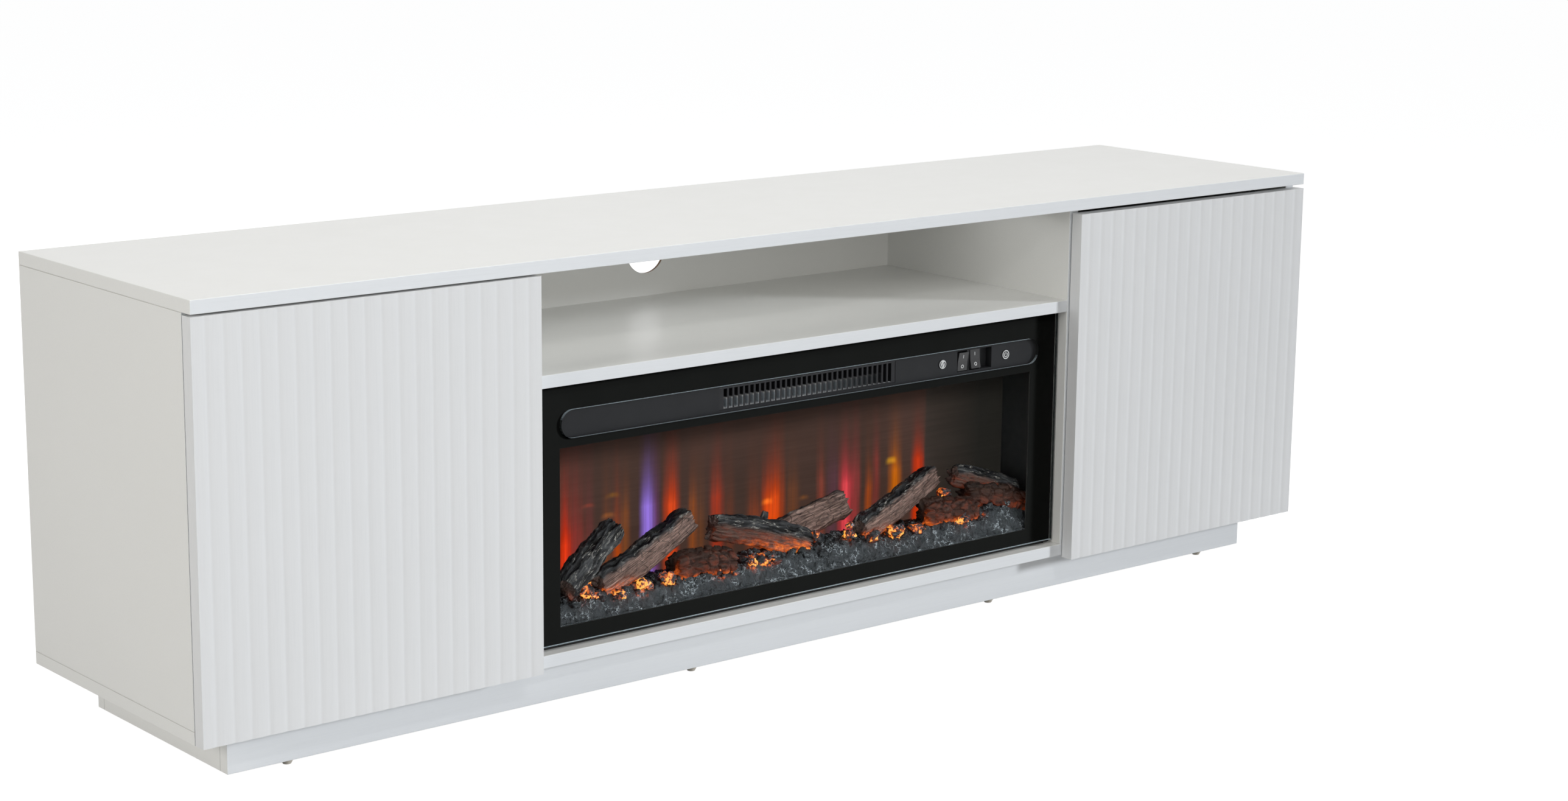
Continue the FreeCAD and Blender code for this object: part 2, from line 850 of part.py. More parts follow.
def control_fascia():
    """Dark strip behind the slot, open at the grille, the buttons and the switch bank."""
    y = (frame_back_y, fascia_back_y)
    cut_y = (y[0] - overrun, y[1] + overrun)
    strip = box(fascia_x, y, fascia_z)
    grille_hole = box(
        about(0, grille_width / 2 + seat_gap),
        cut_y,
        about(slot_mid_z, grille_height / 2 + seat_gap),
    )
    bank_hole = box(bank_x, cut_y, about(slot_mid_z, bay_half_z))
    cuts = [grille_hole, bank_hole]
    for x in (power_x, flame_x):
        start = V(x, cut_y[0], slot_mid_z)
        cuts.append(rod(start, BACK, button_radius + running_gap, cut_y[1] - cut_y[0]))
    return strip.cut(cuts)


def outlet_grille():
    """Warm air grille: upright fins in a frame with a lip behind the fascia."""
    y = (frame_back_y + grille_recess, frame_back_y + grille_recess + grille_depth)
    half_x, half_z = grille_width / 2, grille_height / 2
    lip_x = about(0, half_x + grille_lip)
    lip_z = about(slot_mid_z, half_z + grille_lip)
    block = joined([
        box((-half_x, half_x), y, about(slot_mid_z, half_z)),
        box(lip_x, (fascia_back_y, lip_back_y), lip_z),
    ])
    count = int((grille_width - fin_thickness) / fin_pitch)
    first = -(count - 1) * fin_pitch / 2
    opening_half = (fin_pitch - fin_thickness) / 2
    slots = []
    for index in range(count):
        x = first + index * fin_pitch
        slot_y = (y[0] - overrun, y[1] + overrun)
        slots.append(box(about(x, opening_half), slot_y, about(slot_mid_z, half_z - fin_thickness / 2)))
    return block.cut(slots)


def push_button(x):
    """Round button with a flange that keeps it behind the fascia."""
    front = V(x, frame_back_y - button_proud, slot_mid_z)
    flange_y = fascia_back_y + button_float
    flange = rod(V(x, flange_y, slot_mid_z), BACK, button_flange_radius, button_flange)
    return joined([rod(front, BACK, button_radius, flange_y + button_flange - front.y), flange])


def rocker(x, tilt):
    """Rocker cap, its front dished in the middle; a positive tilt has its lower end pressed in."""
    half = rocker_height / 2
    face_y = rocker_y - rocker_pivot_depth
    outline = [
        (face_y, half),
        (face_y + rocker_dip, 0),
        (face_y, -half),
        (face_y + rocker_shoulder, -half + rocker_end_slope),
        (rocker_y + rocker_foot_depth, -rocker_foot / 2),
        (rocker_y + rocker_foot_depth, rocker_foot / 2),
        (face_y + rocker_shoulder, half - rocker_end_slope),
        (face_y, half),
    ]
    start_x = x - rocker_width / 2
    wire = Part.makePolygon([V(start_x, y, slot_mid_z + z) for y, z in outline])
    cap = Part.Face(wire).extrude(RIGHT * rocker_width)
    pivot = V(start_x - overrun, rocker_y, slot_mid_z)
    hole = rod(pivot, RIGHT, rocker_pin_radius + running_gap, rocker_width + overrun + overrun)
    cap = cap.cut(hole)
    cap.rotate(pivot, RIGHT, tilt)
    return cap


def rocker_housings():
    """Switch bank behind the fascia: bays for the rockers with their pivot pins, and a blank bay."""
    y = (fascia_back_y, bank_back_y)
    block = box(
        (bank_x[0] - bank_wall, bank_x[1] + bank_wall),
        y,
        about(slot_mid_z, bay_half_z + bank_wall),
    )
    bay_y = (y[0] - overrun, y[1] - bank_floor)
    blank_x = (bay_x[1] + bay_half_x + bank_wall, bank_x[1])
    bays = [box(about(x, bay_half_x), bay_y, about(slot_mid_z, bay_half_z)) for x in bay_x]
    bays.append(box(blank_x, bay_y, about(slot_mid_z, bay_half_z)))
    pin_start = V(bay_x[0] - bay_half_x - bank_wall, rocker_y, slot_mid_z)
    pin_length = bay_x[1] - bay_x[0] + 2 * (bay_half_x + bank_wall)
    pin = rod(pin_start, RIGHT, rocker_pin_radius, pin_length)
    return joined([block.cut(bays), pin])


def control_board():
    """Circuit board standing on the deck, with a push switch behind each button."""
    x = (flame_x - circuit_margin, power_x + circuit_margin)
    pieces = [box(x, (bank_back_y, bank_back_y + circuit_thickness), (deck_top_z, fascia_z[1]))]
    tip_y = fascia_back_y + button_float + button_flange + switch_gap
    for middle in (flame_x, power_x):
        half = switch_size / 2
        pieces.append(box(about(middle, half), (tip_y, bank_back_y), about(slot_mid_z, half)))
    return joined(pieces)


# Fireplace insert: heater

def heater_duct():
    """Top and side plates between the blower and the grille, standing on the deck."""
    y = (lip_back_y, duct_back_y)
    plates = joined([
        box((-duct_x, -duct_x + sheet), y, (deck_top_z, duct_top_z)),
        box((duct_x - sheet, duct_x), y, (deck_top_z, duct_top_z)),
        box((-duct_x, duct_x), y, (duct_top_z - sheet, duct_top_z)),
    ])
    start = V(-duct_x - overrun, blower_y, blower_z)
    return plates.cut(rod(start, RIGHT, shaft_radius + running_gap, 2 * (duct_x + overrun)))


def heater_element():
    """Finned heating bar across the duct."""
    reach = duct_x - sheet
    y = (lip_back_y + element_setback, lip_back_y + element_setback + element_depth)
    z = (deck_top_z + element_rise, deck_top_z + element_rise + element_height)
    bar = box((-reach, reach), y, z)
    count = int((reach + reach - element_pitch) / element_pitch)
    first = -(count - 1) * element_pitch / 2
    half = (element_pitch - element_rib) / 2
    gaps = []
    for index in range(count):
        gap_x = about(first + index * element_pitch, half)
        gaps.append(box(gap_x, (y[0] - overrun, y[1] + overrun), (z[0] + element_rib, z[1] - element_rib)))
    return bar.cut(gaps)


def blower_wheel():
    """Cross-flow wheel: blades between two end discs on a shaft that enters the motor."""
    reach = duct_x - sheet - blower_end_gap
    axis = V(0, blower_y, blower_z)
    shaft_start = V(-duct_x, blower_y, blower_z)
    pieces = [rod(shaft_start, RIGHT, shaft_radius, duct_x + duct_x + shaft_entry)]
    for x in (-reach, reach - blower_disc):
        pieces.append(rod(V(x, blower_y, blower_z), RIGHT, blower_radius, blower_disc))
    blade = box(
        (-reach, reach),
        (blower_y + blower_radius - blower_blade_depth, blower_y + blower_radius - blower_blade),
        about(blower_z, blower_blade / 2),
    )
    for index in range(blower_blades):
        turned = blade.copy()
        turned.rotate(axis, RIGHT, FULL_TURN / blower_blades * index)
        pieces.append(turned)
    return joined(pieces)


def bored_motor(start, radius, length, bore_depth):
    """Round motor along X, bored at its left end for a shaft."""
    body = rod(start, RIGHT, radius, length)
    return body.cut(rod(start + LEFT * overrun, RIGHT, shaft_radius + running_gap, bore_depth + overrun))


def blower_motor():
    return bored_motor(V(duct_x, blower_y, blower_z), motor_radius, motor_length, motor_bore_depth)


# Fireplace insert: flame picture, embers and logs

def flame_screen():
    reach = chamber_x - screen_side_gap
    return box((-reach, reach), (screen_y, screen_back_y), (chamber_z, deck_z - screen_side_gap))


def rotor_motor():
    start = V(chamber_x - rotor_motor_length, rotor_y, rotor_z)
    return bored_motor(start, rotor_motor_radius, rotor_motor_length, rotor_bore_depth)


def flame_rotor():
    """Long shaft with mirror blades, from the housing's left wall into its motor."""
    end_x = chamber_x - rotor_motor_length + rotor_shaft_entry
    start = V(-housing_x, rotor_y, rotor_z)
    pieces = [rod(start, RIGHT, shaft_radius, end_x - start.x)]
    room = (-chamber_x + rotor_blade_pitch, chamber_x - rotor_motor_length - rotor_blade_pitch)
    count = int((room[1] - room[0]) / rotor_blade_pitch)
    for index in range(count):
        blade = box(
            about(room[0] + index * rotor_blade_pitch, rotor_blade_length / 2),
            about(rotor_y, rotor_blade_thickness / 2),
            about(rotor_z, rotor_blade_reach),
        )
        blade.rotate(start, RIGHT, index * rotor_blade_step)
        pieces.append(blade)
    return joined(pieces)


def light_strip(y, base_z, up):
    """Strip of light chips on the chamber's floor, or under the deck."""
    reach = chamber_x - strip_end_gap
    top_z = base_z + up * circuit_thickness
    pieces = [box((-reach, reach), about(y, strip_width / 2), sorted((base_z, top_z)))]
    count = int((reach + reach - chip_size) / chip_pitch)
    first = -(count - 1) * chip_pitch / 2
    for index in range(count):
        chip_x = about(first + index * chip_pitch, chip_size / 2)
        pieces.append(box(chip_x, about(y, chip_size / 2), sorted((top_z, top_z + up * chip_height))))
    return joined(pieces)


def led_strips():
    bed_middle = (bed_y[0] + bed_y[1]) / 2
    return [
        light_strip(bed_middle, chamber_z, 1),
        light_strip(rotor_y, chamber_z, 1),
        light_strip(bed_middle, deck_z, -1),
    ]


def under_bed(drop, x):
    """Everything below the ember bed's sloping face, or a lowered copy of it."""
    outline = [
        V(x[0], bed_y[0], chamber_z),
        V(x[0], bed_y[1], chamber_z),
        V(x[0], bed_y[1], bed_z[1] - drop),
        V(x[0], bed_y[0], bed_z[0] - drop),
    ]
    wire = Part.makePolygon(outline + outline[:1])
    return Part.Face(wire).extrude(RIGHT * (x[1] - x[0]))


def ember_bed():
    """Sloping tray with end walls that stand on the chamber's floor."""
    inner = bed_x - bed_shell
    return under_bed(0, (-bed_x, bed_x)).cut(under_bed(bed_shell, (-inner, inner)))


def log_end(shares):
    x, y, z = shares
    return V(
        x * window_x,
        bed_y[0] + y * (bed_y[1] - bed_y[0]),
        window_z[0] + z * window_height,
    )


def log_body(log, extra):
    """Tapered round log between its two ends, grown all over by an extra amount."""
    start, end = log_end(log[0]), log_end(log[1])
    near, far = (share * log_radius + extra for share in log[2])
    along = (end - start).normalize()
    length = (end - start).Length
    return Part.makeCone(near, far, length + 2 * extra, start - along * extra, along)


def log_set():
    """Logs bedded on the embers, each shaped round the ones before it."""
    chamber = box((-bed_x, bed_x), bed_y, (chamber_z, deck_z))
    bed = under_bed(0, (-bed_x, bed_x))
    logs = []
    for index, log in enumerate(log_shares):
        earlier = [log_body(other, seat_gap) for other in log_shares[:index]]
        logs.append(log_body(log, 0).common(chamber).cut([bed] + earlier))
    return logs


# Carcass
save("top_panel", top_panel())
save("bottom_panel", bottom_panel())
save_pair("side_panel", side_panel())
save_pair("divider", divider())
save("center_shelf", center_shelf())
save_pair("back_panel", side_back_panel())
save("center_back_panel", center_back_panel())
save_pair("cabinet_shelf", cabinet_shelf())
save_group("shelf_pins", both_sides([shelf_pin(*place) for place in pin_places()]))

# Plinth
save("plinth_front", plinth_long_board())
save("plinth_back", plinth_long_board().mirror(ORIGIN, BACK))
save_pair("plinth_end", plinth_end())
save_group("plinth_cross_rails", both_sides([plinth_cross_rail()]))
save_group("floor_glides", floor_glides())

# Fasteners
save_group("cam_locks", both_sides([cam_lock(*place) for place in left_cam_places()]))
save_group("cam_bolts", both_sides([cam_bolt(*place) for place in left_cam_places()]))
save_group("assembly_screws", [screw(top, plinth_screw_length, 0) for top in plinth_screw_heads()]
           + both_sides([screw(top, bracket_screw_length, screw_head) for top in bracket_screw_heads()]))

# Doors
save_hung_pair("door", door())
save_hung_pair("hinge_cups", Part.makeCompound([hinge_cup(z) for z in hinge_rows]))
save_hung_pair("hinge_links", Part.makeCompound([hinge_link(z) for z in hinge_rows]))
save_hung_pair("hinge_arms", Part.makeCompound([hinge_arm(z) for z in hinge_rows]))
save_pair("latch_housing", latch_housing())
save_pair("latch_plunger", latch_plunger())
save_pair("strike_plate", strike_plate())

# Fireplace insert
save("front_glass", front_glass())
save("front_frame", front_frame())
save("insert_housing", insert_housing())
save("insert_back_cover", insert_back_cover())
save("cord_gland", cord_gland())
save_group("insert_brackets", both_sides([insert_bracket(y) for y in bracket_rows()]))
save("control_fascia", control_fascia())
save("outlet_grille", outlet_grille())
save("power_button", push_button(power_x))
save("flame_button", push_button(flame_x))
save("left_rocker", rocker(bay_x[0], rocker_tilt))
save("right_rocker", rocker(bay_x[1], -rocker_tilt))
save("rocker_housings", rocker_housings())
save("control_board", control_board())
save("heater_duct", heater_duct())
save("heater_element", heater_element())
save("blower_wheel", blower_wheel())
save("blower_motor", blower_motor())
save("flame_screen", flame_screen())
save("flame_rotor", flame_rotor())
save("rotor_motor", rotor_motor())
save_group("led_strips", led_strips())
save("ember_bed", ember_bed())
save_group("log_set", log_set())
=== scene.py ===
import json
import math

import bmesh
import bpy
import numpy as np
from mathutils import Matrix, Vector, noise


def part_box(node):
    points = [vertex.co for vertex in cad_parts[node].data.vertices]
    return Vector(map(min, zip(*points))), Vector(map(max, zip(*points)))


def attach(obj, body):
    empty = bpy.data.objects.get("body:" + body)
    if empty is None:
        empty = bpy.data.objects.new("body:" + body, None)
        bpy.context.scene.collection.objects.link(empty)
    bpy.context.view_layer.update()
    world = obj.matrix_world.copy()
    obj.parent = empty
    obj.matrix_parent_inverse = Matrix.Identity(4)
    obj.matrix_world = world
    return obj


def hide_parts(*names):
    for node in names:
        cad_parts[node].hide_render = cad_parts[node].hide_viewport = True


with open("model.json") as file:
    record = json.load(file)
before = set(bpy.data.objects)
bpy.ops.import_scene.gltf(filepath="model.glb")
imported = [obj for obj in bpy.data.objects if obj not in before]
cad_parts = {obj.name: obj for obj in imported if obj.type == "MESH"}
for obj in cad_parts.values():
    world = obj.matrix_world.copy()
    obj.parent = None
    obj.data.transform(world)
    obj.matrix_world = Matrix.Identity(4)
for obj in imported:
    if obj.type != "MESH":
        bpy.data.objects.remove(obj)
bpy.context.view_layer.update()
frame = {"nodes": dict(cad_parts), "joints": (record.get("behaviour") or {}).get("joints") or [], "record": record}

# Fireplace TV stand: looks, floor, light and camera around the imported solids. Metres, +Z up.

nodes = frame["nodes"]
scene = bpy.context.scene
MM = 0.001
TURN = 2 * math.pi
ROOT = "cabinet"


# Colours and node trees

SCREEN_KNEE, SCREEN_SLOPE, SCREEN_OFFSET, SCREEN_POWER = 0.04045, 12.92, 0.055, 2.4
NOISE_RANGE, NOISE_MIDDLE = (0.3, 0.7), 0.5
NEW_STOP = 0.5


def tone(red, green, blue):
    """Linear colour from the 0 to 255 values that a screen shows."""
    linear = []
    for value in (red, green, blue):
        part = value / 255
        curved = ((part + SCREEN_OFFSET) / (1 + SCREEN_OFFSET)) ** SCREEN_POWER
        linear.append(part / SCREEN_SLOPE if part <= SCREEN_KNEE else curved)
    return (*linear, 1.0)


def shaded(color, shade):
    return tuple(part * shade for part in color[:3]) + (1.0,)


def shares_of(value, shares):
    return [value * share for share in shares]


class Graph:
    """A material's nodes, written as calls that give sockets."""

    def __init__(self, name):
        self.material = bpy.data.materials.new(name)
        self.material.use_nodes = True
        self.tree = self.material.node_tree
        self.tree.nodes.clear()
        self.output = self.tree.nodes.new("ShaderNodeOutputMaterial")
        self.shader = self.tree.nodes.new("ShaderNodeBsdfPrincipled")
        self.tree.links.new(self.shader.outputs[0], self.output.inputs[0])

    def set(self, socket, value):
        if isinstance(value, bpy.types.NodeSocket):
            self.tree.links.new(value, socket)
        else:
            socket.default_value = value

    def node(self, kind, inputs, output=0, **settings):
        made = self.tree.nodes.new("ShaderNode" + kind)
        for key, value in settings.items():
            setattr(made, key, value)
        for key, value in inputs.items():
            self.set(made.inputs[key], value)
        return made.outputs[output]

    def put(self, **values):
        """Values on the shader, by socket name with underscores for spaces."""
        for key, value in values.items():
            self.set(self.shader.inputs[key.replace("_", " ")], value)

    def place(self):
        return self.node("TexCoord", {}, "Object")

    def along(self, axis):
        """Where the surface lies along an axis of the frame."""
        return self.node("SeparateXYZ", {0: self.place()}, axis)

    def facing(self, axis):
        """How far the surface faces along an axis of the frame."""
        normal = self.node("NewGeometry", {}, "True Normal")
        return self.node("SeparateXYZ", {0: normal}, axis)

    def value(self, attribute):
        return self.node("Attribute", {}, "Fac", attribute_name=attribute)

    def math(self, operation, first, second=0.0):
        return self.node("Math", {0: first, 1: second}, operation=operation)

    def product(self, first, second):
        return self.math("MULTIPLY", first, second)

    def distance(self, first, second):
        return self.math("ABSOLUTE", self.math("SUBTRACT", first, second))

    def scaled(self, vector, scale):
        return self.node("VectorMath", {0: vector, 1: scale}, operation="MULTIPLY")

    def added(self, base, color, share):
        """A share of a colour on top of a base."""
        return self.node("VectorMath", {0: color, 1: share, 2: base}, operation="MULTIPLY_ADD")

    def noise(self, scale, detail, stretch=None, vector=None, harsh=0.5):
        where = vector or self.place()
        if stretch:
            where = self.scaled(where, stretch)
        inputs = {"Vector": where, "Scale": scale, "Detail": detail, "Roughness": harsh}
        return self.node("TexNoise", inputs)

    def cells(self, scale, vector=None, feature="F1"):
        inputs = {"Vector": vector or self.place(), "Scale": scale}
        return self.node("TexVoronoi", inputs, "Distance", feature=feature)

    def span(self, value, low, high, to_low=0.0, to_high=1.0, smooth=False):
        """A value carried from one range to another, held at its ends."""
        inputs = {"Value": value, "From Min": low, "From Max": high, "To Min": to_low, "To Max": to_high}
        return self.node("MapRange", inputs, interpolation_type="SMOOTHSTEP" if smooth else "LINEAR")

    def uneven(self, value, limits):
        """The usual range of a noise, carried to two limits."""
        return self.span(value, *NOISE_RANGE, *limits)

    def mix(self, share, first, second):
        return self.node("Mix", {0: share, 6: first, 7: second}, 2, data_type="RGBA")

    def mottled(self, value, color, shades):
        """A colour that goes from one shade to another with a noise."""
        return self.mix(value, *(shaded(color, shade) for shade in shades))

    def ramp(self, value, stops):
        made = self.tree.nodes.new("ShaderNodeValToRGB")
        self.set(made.inputs[0], value)
        points = made.color_ramp.elements
        while len(points) < len(stops):
            points.new(NEW_STOP)
        for point, (position, color) in zip(points, stops):
            point.position = position
            point.color = color
        return made.outputs[0]

    def bump(self, height, strength, depth):
        normal = self.node("Bump", {"Height": height, "Strength": strength, "Distance": depth})
        self.set(self.shader.inputs["Normal"], normal)


def finish(name, kind, *values):
    """A new material, made by one of the functions below."""
    look = Graph(name)
    kind(look, *values)
    return look.material


# Finishes: a noise is a scale and a detail, a BUMP a strength and a depth, a RANGE two values to read, and
# a SPAN two values to read and the two that they become

JOINT_HALF = 0.6 * MM
JOINT_TONE = tone(118, 114, 104)
JOINT_HEIGHTS = (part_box("top_panel")[0].z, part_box("bottom_panel")[1].z)
PLINTH_JOINTS = (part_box("plinth_front")[1].y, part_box("plinth_back")[0].y)
PLINTH_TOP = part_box("plinth_front")[1].z
END_RANGE = (0.6, 0.9)


def joint_lines(look):
    """Hairline joints on the cabinet's ends: over and under the sides, and between the plinth's boards."""
    z = look.along("Z")
    # Above the plinth, y moves a metre away from the plinth's joints
    plinth_y = look.math("ADD", look.along("Y"), look.math("GREATER_THAN", z, PLINTH_TOP))
    lines = [(z, height) for height in JOINT_HEIGHTS] + [(plinth_y, joint) for joint in PLINTH_JOINTS]
    total = 0.0
    for place, joint in lines:
        line = look.span(look.distance(place, joint), JOINT_HALF, JOINT_HALF / 2)
        total = look.math("MAXIMUM", total, line)
    ends = look.math("ABSOLUTE", look.facing("X"))
    return look.product(total, look.span(ends, *END_RANGE))


COAT_PRINT, COAT_CLOUD, COAT_GLOSS = (600.0, 3), (3.5, 3), (24.0, 4)
COAT_PRINT_SPAN = (0.45, 0.8, 1.0, 0.975)
COAT_CLOUD_SPAN = (0.0, 1.0, 0.97, 1.0)
COAT_ROUGHNESS = (0.29, 0.35)
COAT_BUMP = (0.12, 0.05 * MM)
COAT_FRONT_RANGE = (-0.6, -0.9)


def coated(look, color, grain, edge=None):
    """Satin coat on board: faint clouds of tone, a fine print along the grain, uneven gloss."""
    fine = look.noise(*COAT_PRINT, stretch=grain)
    coat = color[:3]
    if edge:
        coat = look.mix(look.span(look.facing("Y"), *COAT_FRONT_RANGE), color, edge)
        coat = look.mix(joint_lines(look), coat, JOINT_TONE)
    cloud = look.span(look.noise(*COAT_CLOUD), *COAT_CLOUD_SPAN)
    shade = look.product(cloud, look.span(fine, *COAT_PRINT_SPAN))
    look.put(Base_Color=look.scaled(coat, shade),
             Roughness=look.uneven(look.noise(*COAT_GLOSS), COAT_ROUGHNESS))
    look.bump(fine, *COAT_BUMP)


FIBRE, FIBRE_STRETCH, FIBRE_HARSH = (260.0, 5), (1.0, 1.0, 0.35), 0.7
FIBRE_TONES = ((0.3, tone(112, 84, 58)), (0.55, tone(151, 118, 84)), (0.75, tone(176, 144, 108)))
FIBRE_BUMP = (0.15, 0.1 * MM)
FOIL_CLOUD, FOIL_SHADES, FOIL_FACING = (5.0, 3), (0.97, 1.0), -0.5
PANEL_GLOSS, PANEL_ROUGHNESS = (40.0, 3), (0.42, 0.58)


def hardboard(look, color):
    """Thin panel: white foil on its front, brown pressed fibre on its back and its cut edges."""
    fibre = look.noise(*FIBRE, stretch=FIBRE_STRETCH, harsh=FIBRE_HARSH)
    foil = look.mottled(look.noise(*FOIL_CLOUD), color, FOIL_SHADES)
    front = look.math("LESS_THAN", look.facing("Y"), FOIL_FACING)
    look.put(Base_Color=look.mix(front, look.ramp(fibre, FIBRE_TONES), foil),
             Roughness=look.uneven(look.noise(*PANEL_GLOSS), PANEL_ROUGHNESS))
    look.bump(fibre, *FIBRE_BUMP)


METAL_LINE, METAL_PATCH = (900.0, 3), (60.0, 4)
METAL_SHADES, METAL_ROUGH_SHARES = (0.82, 1.0), (0.8, 1.3)
METAL_DULL_RANGE = (0.7, 1.3)
METAL_BUMP = (0.2, 0.04 * MM)


def metal(look, color, rough, brush):
    """Plated or brushed metal with fine lines and duller patches."""
    lines = look.noise(*METAL_LINE, stretch=brush)
    patch = look.noise(*METAL_PATCH)
    dull = look.math("ADD", lines, patch)
    look.put(Base_Color=look.mottled(patch, color, METAL_SHADES), Metallic=1.0,
             Roughness=look.span(dull, *METAL_DULL_RANGE, *shares_of(rough, METAL_ROUGH_SHARES)))
    look.bump(lines, *METAL_BUMP)


PLASTIC_CLOUD, PLASTIC_SHADES = (45.0, 4), (0.85, 1.1)
PLASTIC_DETAIL, PLASTIC_HARSH = 4, 0.65
PLASTIC_ROUGH_SHARES, PLASTIC_SHINE = (0.85, 1.2), 0.5
PLASTIC_BUMP = (0.25, 0.06 * MM)


def plastic(look, color, rough, texture, shine=PLASTIC_SHINE):
    """Moulded plastic with a fine eroded texture and slight unevenness of tone."""
    skin = look.noise(texture, PLASTIC_DETAIL, harsh=PLASTIC_HARSH)
    look.put(Base_Color=look.mottled(look.noise(*PLASTIC_CLOUD), color, PLASTIC_SHADES),
             Roughness=look.uneven(skin, shares_of(rough, PLASTIC_ROUGH_SHARES)), Specular_IOR_Level=shine)
    look.bump(skin, *PLASTIC_BUMP)


POWDER_CLOUD, POWDER_SHADES = (12.0, 4), (0.8, 1.15)
POWDER_GLOSS, POWDER_ROUGH_SHARES = (80.0, 3), (0.9, 1.15)
POWDER_PEBBLES, POWDER_BUMP = 700.0, (0.2, 0.05 * MM)


def powder_coat(look, color, rough, shine):
    """Matt coat on sheet metal, with its pebbled grain."""
    gloss = look.noise(*POWDER_GLOSS)
    look.put(Base_Color=look.mottled(look.noise(*POWDER_CLOUD), color, POWDER_SHADES),
             Roughness=look.uneven(gloss, shares_of(rough, POWDER_ROUGH_SHARES)), Specular_IOR_Level=shine)
    look.bump(look.cells(POWDER_PEBBLES), *POWDER_BUMP)


grille_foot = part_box("outlet_grille")[0].z
GRILLE_PLATE_LOW, GRILLE_PLATE_TOP = grille_foot + 4.5 * MM, grille_foot + 20.5 * MM
GRILLE_PLATES_TO = 130 * MM
GRILLE_CLOUD, GRILLE_DARK_TONES = (60.0, 3), (tone(28, 29, 31), tone(42, 43, 46))
# Painted light: the pale stop at the foot and the pale stop near the top are painted highlights, and the stops
# between are the heater plates painted as seen lit
GRILLE_PLATE_AND_HIGHLIGHT_TONES = (
    (0.0, tone(246, 248, 250)), (0.2, tone(166, 176, 184)), (0.72, tone(190, 200, 208)),
    (0.86, tone(250, 252, 253)), (0.95, tone(60, 62, 66)), (1.0, tone(30, 31, 33)),
)
# Painted highlight on the faces that look up
GRILLE_FOOT_HIGHLIGHT_TONE = tone(244, 246, 248)
GRILLE_LEFT_RANGE, GRILLE_HIGHLIGHT_UP_RANGE = (-0.5, -0.8), (0.5, 0.8)
GRILLE_GLOSS, GRILLE_ROUGHNESS, GRILLE_SHINE = (300.0, 3), (0.29, 0.42), 0.2
GRILLE_GRIT, GRILLE_BUMP = (800.0, 2), (0.15, 0.04 * MM)


def grille_metal(look):
    """Dark fins with painted highlights where they face up, and low on the left, lit heater plates painted with
    highlights.
    """
    dark = look.mix(look.noise(*GRILLE_CLOUD), *GRILLE_DARK_TONES)
    height = look.span(look.along("Z"), GRILLE_PLATE_LOW, GRILLE_PLATE_TOP)
    # Where the lit heater plates and their painted highlights are painted: the left faces of the fins on the left
    painted_plates = look.product(look.span(look.facing("X"), *GRILLE_LEFT_RANGE),
                          look.span(look.along("X"), GRILLE_PLATES_TO, 0.0))
    color = look.mix(painted_plates, dark, look.ramp(height, GRILLE_PLATE_AND_HIGHLIGHT_TONES))
    # Faces that look up get the painted highlight
    look.put(Base_Color=look.mix(look.span(look.facing("Z"), *GRILLE_HIGHLIGHT_UP_RANGE), color, GRILLE_FOOT_HIGHLIGHT_TONE),
             Roughness=look.uneven(look.noise(*GRILLE_GLOSS), GRILLE_ROUGHNESS),
             Specular_IOR_Level=GRILLE_SHINE)
    look.bump(look.noise(*GRILLE_GRIT), *GRILLE_BUMP)


TRACK_CELLS, TRACK_RANGE = 140.0, (0.05, 0.08)
TRACK_TONE, LACQUER_TONE = tone(92, 132, 74), tone(24, 74, 40)
CIRCUIT_GLOSS, CIRCUIT_ROUGHNESS = (200.0, 2), (0.3, 0.45)
CIRCUIT_BUMP = (0.3, 0.05 * MM)


def circuit(look):
    """Green lacquer over copper tracks."""
    between = look.span(look.cells(TRACK_CELLS, feature="DISTANCE_TO_EDGE"), *TRACK_RANGE)
    look.put(Base_Color=look.mix(between, TRACK_TONE, LACQUER_TONE),
             Roughness=look.uneven(look.noise(*CIRCUIT_GLOSS), CIRCUIT_ROUGHNESS))
    look.bump(between, *CIRCUIT_BUMP)


GLASS_TINT, GLASS_IOR = (0.97, 0.985, 0.98, 1.0), 1.001


def glass_pane(look):
    """Clear coated pane with next to no reflection, which lets lamp light through to the logs."""
    look.put(Base_Color=GLASS_TINT, Roughness=0.0, IOR=GLASS_IOR, Transmission_Weight=1.0)
    clear = look.node("BsdfTransparent", {"Color": GLASS_TINT})
    shadow = look.node("LightPath", {}, "Is Shadow Ray")
    mixed = look.node("MixShader", {0: shadow, 1: look.shader.outputs[0], 2: clear})
    look.set(look.output.inputs[0], mixed)


GRIND, GRIND_STRETCH = (350.0, 4), (1.0, 1.0, 0.3)
LIT_GRIND_TONES = ((0.3, tone(132, 142, 148)), (0.7, tone(168, 180, 188)))
# Painted shade on the edges that don't face up; the pale ground tones on those that face up are partly painted
# light
EDGE_SHADE_TONE, EDGE_LIT_UP_RANGE = tone(34, 36, 36), (0.3, 0.9)
EDGE_ROUGHNESS, EDGE_SHINE, EDGE_BUMP = (0.2, 0.27), 0.2, (0.2, 0.05 * MM)


def glass_edge(look):
    """Ground edge of the pane: pale with painted light where it faces up, painted dark in shade elsewhere, where
    the frame behind it shows through.
    """
    ground = look.noise(*GRIND, stretch=GRIND_STRETCH)
    lit_up = look.span(look.facing("Z"), *EDGE_LIT_UP_RANGE)
    # Painted light where the edge faces up, painted shade elsewhere
    look.put(Base_Color=look.mix(lit_up, EDGE_SHADE_TONE, look.ramp(ground, LIT_GRIND_TONES)),
             Roughness=look.uneven(ground, EDGE_ROUGHNESS), Specular_IOR_Level=EDGE_SHINE)
    look.bump(ground, *EDGE_BUMP)


